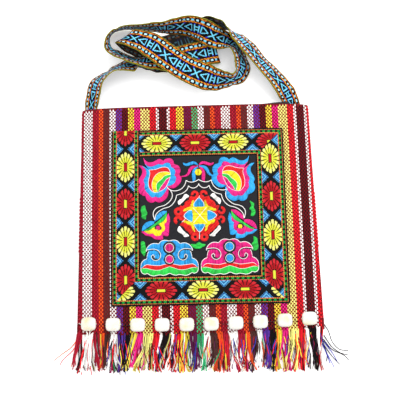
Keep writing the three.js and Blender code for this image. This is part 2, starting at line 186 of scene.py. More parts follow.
# The ribbon's weave, in millimetres: flowers, half diamonds between them, and lines along its edges
FLOWER = {
    "half_long": 16.2, "half_wide": 10.9, "power": 1.55, "petals": 16, "reach": 1.05, "notch": 0.7,
    "notch_from": 0.25, "tip_from": 0.76, "gap_from": 0.36, "gap_root": 0.34, "heart": (4.5, 1.4),
    "rim": (5.3, 1.9),
}
DIAMOND = {"half_long": 7.6, "half_wide": 7.3, "rings": 13, "speck": 2.3, "speckle": 0.9}
EDGING = {
    "field": 9.65, "lines": ((9.75, 10.55), (13.15, 13.95)), "dot_pitch": 2.2, "dot": 1.65,
    "dashes": (10.75, 12.95), "dash_pitch": 5.6, "dash": 2.8,
}
# The strap's lowest edges lie this far above the floor.
FLOOR_GAP = 0.05
# Rows and columns of points in the plain sheets of cloth
FRONT_GRID = (113, 73)
FACING_GRID = (84, 13)
HEM_GRID = (89, 7)
PANEL_GRID = 73
# Beads: shares of a right angle and of the half length, and powers that square their sides
BEAD = {"around": 32, "rings": 19, "stop": 0.93, "top": 0.8, "flare": 1.25,
        "hole": (0.93, 0.85, 0.4, -0.4, -0.85, -0.93)}
BEAD_THREAD = {"thick": 0.6, "past": 0.3, "drop": 2.5, "from_side": 2, "climb": 1.5, "lift": 0.5,
               "lowest": 2.6}
# A wave texture of scale 1 repeats after about this length.
WAVE_REPEAT = 0.31
# Sockets of a colour mix node
MIX_FACTOR, MIX_FIRST, MIX_SECOND, MIX_RESULT = 0, 6, 7, 2
SOFTBOX = {"size": 1.4, "place": (0.8, 0.8, 1.3), "aim": (0, 0.05, 0)}
FLOOR_REACH = 4.0

# Heights of the embroidery's stitches and thickness of its couched cords, in millimetres
STITCH = {"shortest": 0.2, "longest": 7.0, "lift": 0.1, "layer": 0.3, "arch": 0.2, "arch_grows": 0.11,
          "arch_most": 0.8}
CORD = {"lift": 0.2, "stem": 0.95, "scallop": 0.85, "cloud": 0.8, "disc": 0.75, "inner": 0.65, "fine": 0.6,
        "finest": 0.5, "link": 1.2, "spiral": 1.5, "shadow": 1.9}
# How far each motif on the right stands from the left one's mirror image, in millimetres
MIRROR_SHIFT = {"peach": -3.5, "scallops": 1.1, "bow": 1.2, "butterfly": 0.4}

# Embroidery, in millimetres from the panel's middle. A satin band is stitched between two rails.
PEACH = {
    "outer_upper": [
        (-60, 64.9), (-58.5, 62.5), (-54.4, 60), (-49.4, 60.4), (-45.9, 62.1), (-42.6, 63.6),
        (-39.4, 62.3), (-37.6, 61.4), (-35.9, 63.2), (-32.3, 64.1), (-29.1, 63.4), (-27.1, 61.1),
        (-26.6, 58.2), (-25.1, 56.8), (-21.9, 55.7), (-19.8, 52.5), (-19.4, 49.3), (-20.5, 46.4),
        (-20.1, 43.9), (-18.6, 42.1), (-18.7, 38.6), (-20.5, 35), (-23.7, 31.8), (-27.6, 29.9),
        (-31.6, 30.4), (-33.9, 31.8),
    ],
    "middle_upper": [
        (-58.4, 58.6), (-57.3, 56.8), (-53.7, 55), (-49.4, 55.4), (-45.9, 56.8), (-43, 57.7),
        (-39.4, 56.8), (-37.3, 57.9), (-34.4, 59.1), (-31.6, 58.7), (-30.1, 56.4), (-29.4, 53.9),
        (-26.9, 52.5), (-25.1, 49.6), (-25.4, 46.4), (-25.9, 44.6), (-24.3, 42.5), (-24.4, 39.3),
        (-25.9, 36.1), (-29.1, 33.6), (-33, 32.7),
    ],
    "inner_upper": [
        (-53.9, 51.1), (-49.4, 51.3), (-45.1, 52.1), (-40.9, 53.7), (-36.6, 54.1), (-33, 52.9),
        (-30.9, 49.3), (-30.5, 45), (-31.2, 40.7), (-33, 36.4), (-34.8, 32.5),
    ],
    "outer_lower": [
        (-65.5, 56.8), (-63.6, 54.6), (-61.9, 52.1), (-61.4, 48.6), (-62.6, 45), (-64.8, 41.4),
        (-65.3, 37.5), (-64.1, 34.6), (-65.3, 32.1), (-65.5, 27.9), (-63.7, 24.3), (-60.5, 22.3),
        (-58, 21.4), (-57.3, 19.3), (-55.9, 16.4), (-52.6, 14.3), (-49.4, 14.6), (-47.3, 15.9),
        (-45.1, 14.9), (-41.6, 14.4), (-37.3, 16.8), (-34.4, 20), (-33.1, 24.3), (-33, 28.9),
        (-34.1, 31.1),
    ],
    "middle_lower": [
        (-60.9, 55.5), (-58, 52.5), (-56.9, 48.6), (-57.6, 44.3), (-59.4, 41.4), (-60, 38.6), (-58.7, 35),
        (-59.1, 31.1), (-57.6, 27.1), (-55.1, 24.3), (-52.6, 21.1), (-50.1, 19.9), (-47.3, 20.7),
        (-44.1, 19.6), (-40.9, 20.4), (-38, 23.6), (-35.5, 27.1), (-34.4, 30),
    ],
    "inner_lower": [
        (-54.3, 50.9), (-53, 47.9), (-53.4, 44.3), (-54.4, 40), (-54.8, 35.7), (-54.1, 31.4),
        (-51.9, 27.9), (-48.7, 25.6), (-44.4, 25.7), (-40.1, 27.5), (-36.6, 30), (-34.8, 32.5),
    ],
    "heart": [
        (-48.7, 25.6), (-51.9, 27.9), (-54.1, 31.4), (-54.8, 35.7), (-54.4, 40), (-53.4, 44.3),
        (-53, 47.9), (-53.2, 50.8), (-49.4, 51.3), (-45.1, 52.1), (-40.9, 53.7), (-36.6, 54.1),
        (-33, 52.9), (-31.5, 49.5),
    ],
    "rind": [
        (-48.7, 25.7), (-50.5, 30), (-50.9, 35), (-49.8, 40), (-47.3, 44.3), (-43.7, 47.5), (-39.4, 48.7),
        (-35.1, 48.7), (-31.6, 47.9),
    ],
    "flesh": [
        (-44.8, 26.5), (-45.9, 30), (-45.9, 34.3), (-43.7, 37.5), (-40.1, 40.4), (-37.3, 43.6),
        (-33.7, 45), (-30.5, 45.4),
    ],
    "pith": [
        (-43.4, 27.1), (-41.9, 30.4), (-40.1, 33.2), (-37.6, 36.4), (-35.1, 40), (-32.3, 41.8),
        (-30.5, 42.5),
    ],
    "stone": [(-41.6, 27.5), (-38.4, 28.2), (-35.9, 31.4), (-33.7, 35), (-31.9, 38.6), (-31.1, 41.5)],
}
STEM = [(-35.1, 32.5), (-33, 29.7), (-30.8, 27.9)]
SCALLOPS = [
    [(-30.8, 27.9), (-27.6, 26.9), (-23.3, 27), (-19, 28.7), (-15.8, 31.8), (-14, 35.4), (-13.3, 38.4)],
    [(-13.3, 38.4), (-10.4, 36.8), (-6.2, 36.3), (-1.9, 37.7), (0.9, 39.3)],
    [(0.9, 34.4), (-1.2, 31.4), (-4.7, 29.6), (-8.3, 30.2), (-10.8, 32.2)],
    [(-10.8, 32.2), (-11.9, 28.9), (-14.7, 25.7), (-18.3, 23.6), (-21.9, 22.5), (-24, 21.8)],
    [
        (-24, 21.8), (-24.7, 18.6), (-26.2, 15), (-29, 11.4), (-32.6, 8.9), (-37.6, 7.5), (-41.9, 5.4),
        (-45.4, 2.5), (-47.2, -0.5), (-48, -5),
    ],
    [
        (-30.8, 27.9), (-29, 24.3), (-28.7, 20.7), (-30.1, 17.1), (-33.3, 13.6), (-37.6, 10.7),
        (-43.3, 9.3), (-47.2, 7.1), (-49.4, 3.6), (-49.6, 0), (-48.2, -5),
    ],
]
BOW = {
    "streamer": (
        [(-16.1, 58.5), (-12.9, 57.5), (-9.3, 58.9), (-5, 60), (-1.8, 58.6), (0, 56.1)],
        [(-15.7, 56.4), (-12.2, 55), (-7.9, 56.1), (-4.3, 57.1), (-1.5, 56.1), (0, 55.4)],
    ),
    "tail": (
        [(-18.6, 43.2), (-14.3, 44.3), (-11.5, 47.1), (-10, 51.4), (-6.5, 54.6), (-0.7, 55.1)],
        [(-18.2, 42.5), (-13.2, 43), (-9.7, 45.4), (-7.5, 49.3), (-5, 52.1), (-0.4, 53.9)],
    ),
    "loop": (
        [(-0.4, 53.9), (-4, 52.1), (-6.1, 48.6), (-6.6, 43.6), (-6.1, 39.3), (-5.9, 36.8)],
        [(0.3, 53.2), (-2.2, 50.7), (-3.2, 47.1), (-2.9, 42.9), (-3, 39.3), (-5.4, 36.8)],
    ),
    "ball": {"x": 0.3, "y": 47.5, "radius": 3.6},
}
ROSETTE = {
    "ring": [
        (-8.6, 20.6), (-10.1, 18.9), (-10.4, 16.6), (-12.6, 15.4), (-14.8, 14), (-15.6, 11.2),
        (-17.6, 9.4), (-20.1, 10.2), (-20.9, 7.9), (-19.6, 3.4), (-17.4, 0.4), (-19.1, -1.2),
        (-19.6, -3.6), (-18.1, -7.6), (-19.6, -9.1), (-21.1, -11.1), (-19.1, -12.1), (-17.1, -12.8),
        (-15.6, -15.1), (-14.6, -17.1), (-12.6, -18.1), (-11.1, -19.6), (-10.1, -22.1), (-8.1, -22.1),
        (-5.6, -20.6), (-1.6, -21.6), (0.4, -20.6), (2.4, -20.6), (5.4, -21.6), (8.9, -21.6),
        (10.9, -21.9), (11.9, -19.8), (13.4, -19.1), (15.9, -17.6), (17.4, -15.6), (18.9, -13.6),
        (20.9, -12.6), (21.9, -10.6), (20.9, -8.1), (19.9, -3.6), (21.4, -1.2), (19.9, 1.4), (20.9, 4.9),
        (22.4, 8.4), (22.4, 10.4), (20.4, 9.6), (18.9, 9.6), (17.9, 12.4), (16.9, 14.4), (14.4, 15.9),
        (12.6, 16.9), (11.9, 19.4), (11.4, 20.8), (8.4, 19.9), (5.4, 19.4), (0.9, 20.9), (-2.6, 19.4),
        (-6.1, 20.2),
    ],
    "window": [
        (0.6, 16.9), (6.9, 12.9), (10, 9.4), (13.9, 6.4), (17.4, -1.4), (14.4, -8.6), (10, -12.1),
        (6.9, -14.6), (0.4, -17.6), (-5.6, -14.6), (-8.1, -12.1), (-12.6, -9.1), (-14.6, -1.1),
        (-12.6, 6.4), (-8.1, 9.9), (-5.6, 13.4),
    ],
    "square": [(-7.4, 8.5), (9.6, 8.4), (10, -10.8), (-7.2, -10.8)],
    "petals": [
        [(-5.4, 8.8), (-4.9, 12.4), (-2.6, 15.8), (0.6, 18.4), (3.4, 15.8), (5.6, 12), (5.7, 8.8)],
        [(-5.4, -10.8), (-3.6, -15), (0.4, -19.4), (4.4, -15.6), (6.2, -10.8)],
        [(-7.6, 4.4), (-11.6, 3.8), (-16, -1.1), (-12.1, -6), (-7.3, -7.8)],
        [(9.8, 3.9), (14.4, 2.8), (19.2, -1.4), (14.9, -5.6), (10, -6.9)],
    ],
    "leaves": [
        [(-9, 8.6), (-8.2, 13), (-5.6, 16.4), (-4.6, 12.4), (-5.4, 8.6)],
        [(-7.4, 8.8), (-12.6, 8), (-17.6, 4.4), (-16.6, 2.9), (-11.6, 4.7), (-7.4, 4.6)],
        [(5.8, 8.6), (6, 12.8), (6.9, 16.4), (9.4, 12.4), (10, 8.6)],
        [(9.6, 8.8), (14.4, 8.2), (19.2, 5.2), (17.4, 3.4), (13.4, 4.2), (9.6, 4.2)],
        [(-17.1, -6.2), (-12.6, -7), (-7.4, -8.2), (-7.4, -11.6), (-12.6, -10.9), (-16.6, -8.2)],
        [(-8.4, -11), (-8.1, -15), (-5.6, -18.8), (-4.4, -18.6), (-5, -14.6), (-5.6, -11)],
        [(10, -7.4), (14.4, -6.4), (18, -5.6), (16.9, -8.6), (13.4, -10.8), (10, -11.6)],
        [(6.2, -11), (6.6, -15), (5.4, -18.6), (6.9, -19.4), (9.2, -15.6), (10, -11)],
    ],
    "bars": [
        [
            (-21.1, 11.2), (-22.6, 13.9), (-21.1, 16.6), (-18.1, 18), (-16.6, 20.4), (-14.1, 22.9),
            (-10.6, 21), (-11.1, 19.6), (-14.1, 17.4), (-17.6, 13.9),
        ],
        [
            (12.9, 20.9), (14.9, 22.9), (17.4, 23.1), (19.4, 20.4), (23.4, 17.4), (24.4, 14.4),
            (23.4, 11.4), (21.9, 11.9), (20.4, 13.9), (16.4, 17.9), (14.4, 19.8),
        ],
        [
            (-21.4, -12.6), (-23.4, -16.1), (-22.6, -18.6), (-18.1, -21.6), (-16.1, -24.4),
            (-11.6, -23.6), (-12.1, -22.1), (-16.6, -18.1), (-19.6, -14.6),
        ],
        [
            (21.9, -12.4), (23.6, -15.1), (22.4, -17.6), (18.4, -21.6), (16.4, -24.1), (11.4, -23.6),
            (11.9, -22.4), (15.9, -19.1), (19.4, -15.1),
        ],
    ],
    "curls": [
        {"x": -4, "y": 22.4, "radius": 4.2, "start": -80, "end": 190},
        {"x": 5.6, "y": 22.6, "radius": 4.3, "start": -5, "end": 265},
        {"x": 24.6, "y": 4, "radius": 4.4, "start": 185, "end": 450},
        {"x": 24.2, "y": -6, "radius": 4.3, "start": -80, "end": 180},
        {"x": -22.2, "y": 3.4, "radius": 4.9, "start": 0, "end": 360},
        {"x": -22.6, "y": -5.8, "radius": 4.8, "start": 0, "end": 245},
        {"x": -4.4, "y": -24.6, "radius": 4.6, "start": 0, "end": 360},
        {"x": 5.4, "y": -24.9, "radius": 4.6, "start": 0, "end": 360},
    ],
    "threads": [
        [(-6.2, 7.2), (8.4, -9.4)],
        [(8.2, 7.2), (-6, -9.4)],
        [(0.6, 18.8), (1, 20.8)],
        [(0.4, -19.8), (0.2, -27.1)],
        [(-16.6, -1.6), (-14.6, -4.6), (-18.6, -8.6)],
    ],
}
CURL_HOLE = 1.7
BUTTERFLY = {
    "wing": (
        [(-48.1, -5.7), (-47.1, -1.8), (-44.2, 1.4), (-39.9, 4.3), (-35.3, 4.6)],
        [(-48.1, -6.9), (-45.5, -5.3), (-43.5, -3.9), (-39.2, -0.3), (-35.3, 3.2)],
    ),
    "lower_wing": (
        [(-48.9, -6.8), (-53.1, -6.4), (-57.8, -8.2), (-61, -11.8), (-62.1, -16.4)],
        [(-48.9, -9.1), (-53.5, -11.8), (-57.8, -14.6), (-61.4, -16.9)],
    ),
    "stripe": (
        [(-59.2, -16.4), (-54.9, -14.3), (-49.2, -10.3), (-44.2, -6.4), (-39.2, -1.8), (-35.1, 2.9)],
        [(-59.2, -17.1), (-54.2, -16.1), (-48.5, -12.5), (-43.5, -9.3), (-38.5, -6.4), (-35.3, -2.1)],
    ),
    "lobes": [
        (-59.2, -17.8), (-54.9, -20.3), (-50.3, -20), (-48.5, -21.8), (-45.6, -22.8), (-41.7, -21.8),
        (-40.3, -18.9), (-37.8, -17.1), (-37.1, -13.6), (-37.8, -10), (-35.3, -7.5), (-35.3, -2.8),
    ],
    "belly": [
        (-59.2, -17.5), (-54.2, -16.5), (-48.5, -12.9), (-43.5, -9.7), (-38.5, -6.7), (-35.3, -2.5),
    ],
    "edge": [
        (-62.6, -17.8), (-57.8, -21.8), (-52.1, -23.2), (-47.8, -26.1), (-39.9, -26.8), (-39.2, -22.7),
        (-33.9, -22.8), (-32.8, -17.1), (-32.4, -10), (-31.4, -5.7), (-33.1, 1.8),
    ],
    "eye": {"x": -44.2, "y": -14.3, "radius": 3.1, "ring": 4},
}
CLOUD = {
    "outline": [
        (0, -28.5), (3.1, -27.8), (6.4, -27.8), (9.4, -29.2), (11.5, -31.4), (14.5, -31), (18.1, -31.1),
        (21.8, -33.1), (24.1, -36), (25.1, -39.2), (22.2, -39), (23.3, -41.4), (24.1, -45.3),
        (24.4, -47.4), (27, -48.5), (29.6, -51), (30.7, -54.2), (30.8, -57.4),
    ],
    "base": [
        (30.8, -57.4), (30.7, -60.3), (29.3, -62.8), (26.3, -63.9), (24.1, -63.1), (21.1, -64.9),
        (17.4, -66), (13.8, -65.4), (10.1, -64.9), (7.1, -65.6), (3.5, -64.9), (0, -63.5),
    ],
    "band_top": [
        (29.3, -57.2), (27, -54.7), (24.1, -53.7), (20.4, -54.2), (16, -54.7), (10.8, -55), (6.4, -54),
        (2.7, -53.5), (0, -54),
    ],
    "band_foot": [
        (30.3, -58.4), (27, -57.6), (23.3, -58), (19, -59.2), (14.5, -59.9), (10.1, -59.6), (5.7, -58.1),
        (2.7, -57.1), (0, -56.4),
    ],
    "spiral": [
        (24.1, -38.9), (17.4, -38.1), (13, -39.2), (10.4, -42.1), (10.1, -45.3), (11.5, -48.1),
        (14.5, -49.4), (17.4, -48.5), (19.1, -46), (18.5, -44.2), (17.1, -43.6), (16.1, -45.3),
        (16.4, -46.6),
    ],
    "comma": [(13.6, -48.6), (16, -48.2), (17.5, -46.6), (17.5, -45)],
    "discs": [
        {"y": -35.9, "radius": 4.1, "ring": 4.8, "hole": 6.9},
        {"y": -48.4, "radius": 3.8, "ring": 4.4, "hole": 5.0},
    ],
    "link": (-40.8, -43.8),
}
CLOUD_MIDDLES = {"left": -32.6, "right": 32.4}
LEAVES = [
    [
        (-61.9, 10.2), (-58.7, 10.9), (-58, 7.4), (-56.2, 2.7), (-57.6, -0.5), (-58, -4), (-61.9, -2.6),
        (-62.3, 1.6), (-63.1, 5.9),
    ],
    [
        (-63, -28.9), (-59.4, -28.9), (-58.7, -33.1), (-57.6, -37.1), (-59.4, -43.9), (-61.2, -42.8),
        (-63.3, -38.9), (-63, -34.6),
    ],
    [
        (-9.4, -32.8), (-5.8, -36.7), (-1.6, -37.4), (1.1, -37.1), (6.8, -33.5), (2.5, -32.1),
        (-0.3, -30.6), (-4.4, -32.4),
    ],
    [
        (56.1, 13.8), (60.4, 10.9), (60, 6.6), (61.7, 2.4), (60.4, -1.9), (56.8, -2.6), (57.5, 3.1),
        (55.4, 5.2), (57.5, 8.8),
    ],
    [
        (58.9, -25.3), (62.5, -27.4), (62.9, -31), (63.6, -36), (62.2, -39.6), (58.2, -40.3), (57.9, -36),
        (56.7, -33.1), (58.9, -30.3),
    ],
]

# Loose yarns that splay past the fringe's corners: roots, bends and tips, in millimetres
STRAYS = (
    ("maroon", [(-131, -99), (-133, -112), (-135, -124)]),
    ("orange", [(-129, -106), (-138, -118), (-148, -125), (-156, -131)]),
    ("red", [(-128, -107), (-136, -121), (-146, -130), (-150, -136)]),
    ("white", [(-131, -101), (-140, -116), (-147, -124), (-152, -128)]),
    ("orange", [(-127, -108), (-132, -124), (-138, -138)]),
    ("black", [(131, -99), (136, -108), (139, -119), (146, -127), (156, -129)]),
    ("black", [(131, -112), (138, -124), (147, -131), (155, -133)]),
    ("black", [(130, -116), (138, -127), (150, -133), (156, -139)]),
    ("indigo", [(130, -118), (138, -130), (144, -141)]),
    ("black", [(129, -120), (137, -133), (146, -143)]),
    ("indigo", [(127, -118), (134, -134), (140, -146)]),
)


def linear(code):
    """Linear colour of an sRGB hex value."""
    parts = [int(code[k:k + 2], 16) / 255 for k in (1, 3, 5)]
    return tuple(p / 12.92 if p <= 0.04045 else ((p + 0.055) / 1.055) ** 2.4 for p in parts)


def shade(name, description, code):
    """Colour setting with an sRGB hex default."""
    return FloatVectorProperty(name=name, description=description, subtype="COLOR", size=3, min=0, max=1,
                               default=linear(code))


def span(name, description, millimetres):
    """Length setting, kept in metres."""
    return FloatProperty(name=name, description=description, unit="LENGTH", subtype="DISTANCE", min=0,
                         default=millimetres * MM)


class BagYarnSettings(bpy.types.PropertyGroup):
    """Striped cloth and its fringe"""
    warp_pitch: span("Warp pitch", "Distance between neighbouring warp yarns", 1.74)
    float_pitch: span("Float pitch", "Length of one over-and-under of a warp yarn", 4.2)
    float_length: span("Float length", "Length of a warp yarn's visible float", 3.3)
    float_width: span("Float width", "Width of a warp yarn's visible float", 1.62)
    float_height: span("Float height", "Height of a warp float above the weft", 0.75)
    yarn_width: span("Fringe yarn", "Thickness of a fringe yarn", 1.2)
    maroon: shade("Maroon", "Maroon warp", "#B01A32")
    white: shade("White", "Bleached warp", "#FCFAF6")
    orange: shade("Orange", "Orange warp", "#FA5A22")
    brown: shade("Brown", "Brown warp", "#52302C")
    purple: shade("Purple", "Purple warp", "#5A36A0")
    black: shade("Black", "Black warp", "#140A0E")
    yellow: shade("Yellow", "Yellow warp", "#FFE648")
    pink: shade("Pink", "Bright pink warp", "#F4288E")
    pale_yellow: shade("Pale yellow", "Pale yellow warp", "#FBF48A")
    red: shade("Red", "Red warp", "#F01E2A")
    plum: shade("Plum", "Plum warp", "#5E1848")
    green: shade("Green", "Green warp", "#3CB878")
    indigo: shade("Indigo", "Indigo fringe yarn", "#3A3AA8")
    weft: shade("Weft", "Dark red weft between the warp floats", "#700C14")


class BagFlossSettings(bpy.types.PropertyGroup):
    """Embroidered panel"""
    spacing: span("Stitch spacing", "Distance between neighbouring satin stitches", 0.62)
    floss: span("Floss", "Thickness of the satin floss", 0.72)
    ground: shade("Ground", "Black cotton under the stitches", "#17171B")
    pink: shade("Pink", "Pink floss", "#DA1A7E")
    blue: shade("Blue", "Sky blue floss", "#289CDC")
    red: shade("Red", "Red floss", "#D41816")
    yellow: shade("Yellow", "Yellow floss", "#E9D61A")
    green: shade("Green", "Green floss", "#29BD47")
    white: shade("White", "White floss", "#F0EEEA")
    dark: shade("Dark", "Dark line round the discs and spirals", "#1A1A1E")


class BagRibbonSettings(bpy.types.PropertyGroup):
    """Flower ribbon round the panel"""
    cell: span("Thread cell", "Size of one woven cell of the pattern", 0.55)
    petal_yellow: shade("Yellow petal", "Yellow flowers", "#DEDE40")
    tip_yellow: shade("Yellow tip", "Pale tips of the yellow petals", "#EAE880")
    gap_olive: shade("Olive gap", "Lines between yellow petals", "#3C3E08")
    petal_red: shade("Red petal", "Red flowers", "#AE121A")
    tip_red: shade("Red tip", "Bright tips of the red petals", "#CC2630")
    gap_red: shade("Dark red gap", "Lines between red petals", "#2E0408")
    light_blue: shade("Light blue", "Light threads of the half diamonds", "#68BCE8")
    deep_blue: shade("Deep blue", "Deep threads of the half diamonds", "#1F5492")
    green: shade("Green", "Dashes along the edges", "#109638")
    orange: shade("Orange", "Dotted lines along the edges", "#E08240")
    ground: shade("Ground", "Black ground", "#0B0B0D")


class BagStrapSettings(bpy.types.PropertyGroup):
    """Woven strap"""
    width: span("Width", "Width of the strap", 30)
    cell: span("Thread cell", "Size of one woven cell of the pattern", 0.6)
    repeat: span("Repeat", "Length of one repeat of the middle band", 40.4)
    start: span("Start", "Distance from the strap's left end to its first ladder", 37.3)
    light_blue: shade("Light blue", "Light blue pattern", "#78DCFE")
    ground: shade("Ground", "Black ground", "#030305")
    indigo: shade("Indigo", "Indigo accents", "#3A38D0")
    orange: shade("Orange", "Lines on both sides of the dots", "#E07A1E")
    rust: shade("Rust", "Darker strokes in the orange lines", "#B43816")
    gold: shade("Gold", "Lighter strokes in the orange lines", "#F0B030")
    dot: shade("Dot", "Pale dots of the side bands", "#C4F2FF")
    edge: shade("Edge", "Olive selvedge", "#8A8A24")
    reverse: shade("Reverse", "Loose dark floats of the reverse side", "#2A2826")


class BagBeadSettings(bpy.types.PropertyGroup):
    """Beads on the bottom seam"""
    hole: span("Hole", "Diameter of the thread hole", 2)
    squareness: FloatProperty(name="Squareness", description="Lower is squarer", default=0.55, min=0.3,
                              max=1)
    white: shade("White", "Body of the bead", "#DCDAD3")
    cream: shade("Cream", "Cream clouds in the bead", "#D6CDA0")
    thread: shade("Thread", "Thread through the beads", "#F4F0E6")


class BagStageSettings(bpy.types.PropertyGroup):
    """Camera, floor and light"""
    elevation: FloatProperty(name="Elevation", description="Camera's angle above the floor",
                             subtype="ANGLE", default=math.radians(76))
    roll: FloatProperty(name="Roll", description="Camera's roll", subtype="ANGLE",
                        default=math.radians(-1.52))
    distance: span("Distance", "Distance from the camera to the point it looks at", 889)
    lens: FloatProperty(name="Lens", description="Focal length in millimetres", default=71.91, min=10)
    target: FloatVectorProperty(name="Target", description="Point the camera looks at",
                                subtype="TRANSLATION", size=3, default=(0.0029, 0.0402, 0))
    floor: shade("Floor", "White paper floor", "#FBFBFB")
    surround: FloatProperty(name="Surround", description="Strength of the even white light", default=1.2,
                            min=0)
    glow: FloatProperty(name="Glow", description="Light that comes through the paper floor", default=0.3,
                        min=0)
    softbox: FloatProperty(name="Softbox", description="Power of the softbox above, in watts", default=17,
                           min=0, unit="POWER")


def add_node(tree, kind, feeds=None, **settings):
    """Adds one node, sets its properties, and sets or links its inputs."""
    node = tree.nodes.new(kind)
    for name, value in settings.items():
        setattr(node, name, value)
    for name, value in (feeds or {}).items():
        if isinstance(value, bpy.types.NodeSocket):
            tree.links.new(value, node.inputs[name])
        else:
            node.inputs[name].default_value = value
    return node


def new_material(name):
    """Empty node material and its tree."""
    material = bpy.data.materials.new(name)
    material.use_nodes = True
    material.node_tree.nodes.clear()
    return material, material.node_tree


def dress(material, relief, body):
    """Adds a material's relief, its surface and its output."""
    tree = material.node_tree
    bump = add_node(tree, "ShaderNodeBump", relief)
    surface = add_node(tree, "ShaderNodeBsdfPrincipled", {**body, "Normal": bump.outputs["Normal"]})
    add_node(tree, "ShaderNodeOutputMaterial", {"Surface": surface.outputs["BSDF"]})
    return material


def handspun_cotton(name, roughness, sheen, twist_mm, fuzz):
    """Dyed cotton yarn. Its twist shows as fine slanting ridges and its fibres as a soft dry sheen."""
    material, tree = new_material(name)
    dye = add_node(tree, "ShaderNodeAttribute", attribute_name="yarn_colour")
    place = add_node(tree, "ShaderNodeTexCoord").outputs["Object"]
    uneven = add_node(tree, "ShaderNodeTexNoise", {"Vector": place, "Scale": 1 / (3 * MM), "Detail": 3.0})
    level = add_node(tree, "ShaderNodeMapRange", {
        "Value": uneven.outputs["Fac"], "From Min": 0.3, "From Max": 0.7, "To Min": 1 - fuzz,
        "To Max": 1 + fuzz})
    worn = add_node(tree, "ShaderNodeVectorMath", {
        "Vector": dye.outputs["Color"], "Scale": level.outputs["Result"]}, operation="SCALE")
    slant = add_node(tree, "ShaderNodeMapping", {"Vector": place, "Rotation": (0, 0, 0.7)})
    twist = add_node(tree, "ShaderNodeTexWave", {
        "Vector": slant.outputs["Vector"], "Scale": WAVE_REPEAT / (twist_mm * MM), "Distortion": 2.0,
        "Detail": 2.0})
    return dress(material, {"Height": twist.outputs["Fac"], "Strength": 0.5, "Distance": 0.25 * MM}, {
        "Base Color": worn.outputs["Vector"], "Roughness": roughness, "IOR": 1.5,
        "Specular IOR Level": 0.12, "Sheen Weight": sheen, "Sheen Roughness": 0.5})


def silky_floss(name, roughness):
    """Rayon floss. Smooth filaments give each thread a bright streak of gloss."""
    material, tree = new_material(name)
    dye = add_node(tree, "ShaderNodeAttribute", attribute_name="yarn_colour")
    place = add_node(tree, "ShaderNodeTexCoord").outputs["Object"]
    strands = add_node(tree, "ShaderNodeTexNoise", {
        "Vector": place, "Scale": 1 / (0.5 * MM), "Detail": 2.0})
    return dress(material, {"Height": strands.outputs["Fac"], "Strength": 0.25, "Distance": 0.1 * MM}, {
        "Base Color": dye.outputs["Color"], "Roughness": roughness, "IOR": 1.47,
        "Specular IOR Level": 0.3, "Sheen Weight": 0.02})


def jacquard_ribbon(name, rib_mm):
    """Polyester figured ribbon. Weft floats lie in fine crosswise ribs with a slight gloss."""
    material, tree = new_material(name)
    dye = add_node(tree, "ShaderNodeAttribute", attribute_name="yarn_colour")
    thread = add_node(tree, "ShaderNodeUVMap", uv_map="thread").outputs["UV"]
    ribs = add_node(tree, "ShaderNodeTexWave", {
        "Vector": thread, "Scale": WAVE_REPEAT / rib_mm, "Distortion": 0.6, "Detail": 1.0},
        bands_direction="X")
    warp = add_node(tree, "ShaderNodeTexWave", {
        "Vector": thread, "Scale": WAVE_REPEAT / (1.2 * rib_mm), "Distortion": 0.4}, bands_direction="Y")
    weave = add_node(tree, "ShaderNodeMath", {0: ribs.outputs["Fac"], 1: warp.outputs["Fac"]},
                     operation="MULTIPLY").outputs["Value"]
    level = add_node(tree, "ShaderNodeMapRange", {"Value": weave, "To Min": 0.78, "To Max": 1.08})
    lit = add_node(tree, "ShaderNodeVectorMath", {
        "Vector": dye.outputs["Color"], "Scale": level.outputs["Result"]}, operation="SCALE")
    return dress(material, {"Height": weave, "Strength": 0.6, "Distance": 0.25 * MM}, {
        "Base Color": lit.outputs["Vector"], "Roughness": 0.6, "IOR": 1.55, "Specular IOR Level": 0.08,
        "Sheen Weight": 0.01})


def plain_weave_cotton(name, colour, thread_mm):
    """Plain-woven cotton. Crossing threads show as a fine grid of lighter and darker specks."""
    material, tree = new_material(name)
    place = add_node(tree, "ShaderNodeTexCoord").outputs["Object"]
    warp, weft = (add_node(tree, "ShaderNodeTexWave", {
        "Vector": place, "Scale": WAVE_REPEAT / (thread_mm * MM), "Distortion": 1.2, "Detail": 2.0},
        bands_direction=way) for way in ("X", "Y"))
    cross = add_node(tree, "ShaderNodeMath", {0: warp.outputs["Fac"], 1: weft.outputs["Fac"]},
                     operation="MULTIPLY").outputs["Value"]
    uneven = add_node(tree, "ShaderNodeTexNoise", {"Vector": place, "Scale": 1 / (2.5 * MM)})
    mottle = add_node(tree, "ShaderNodeMath", {0: cross, 1: uneven.outputs["Fac"]}, operation="ADD")
    dark = tuple(0.55 * c for c in colour) + (1,)
    pale = tuple(min(1, 1.7 * c + 0.004) for c in colour) + (1,)
    ramp = add_node(tree, "ShaderNodeMix", {
        MIX_FACTOR: mottle.outputs["Value"], MIX_FIRST: dark, MIX_SECOND: pale}, data_type="RGBA")
    return dress(material, {"Height": cross, "Strength": 0.5, "Distance": 0.2 * MM}, {
        "Base Color": ramp.outputs[MIX_RESULT], "Roughness": 0.85, "IOR": 1.5, "Specular IOR Level": 0.15,
        "Sheen Weight": 0.05})


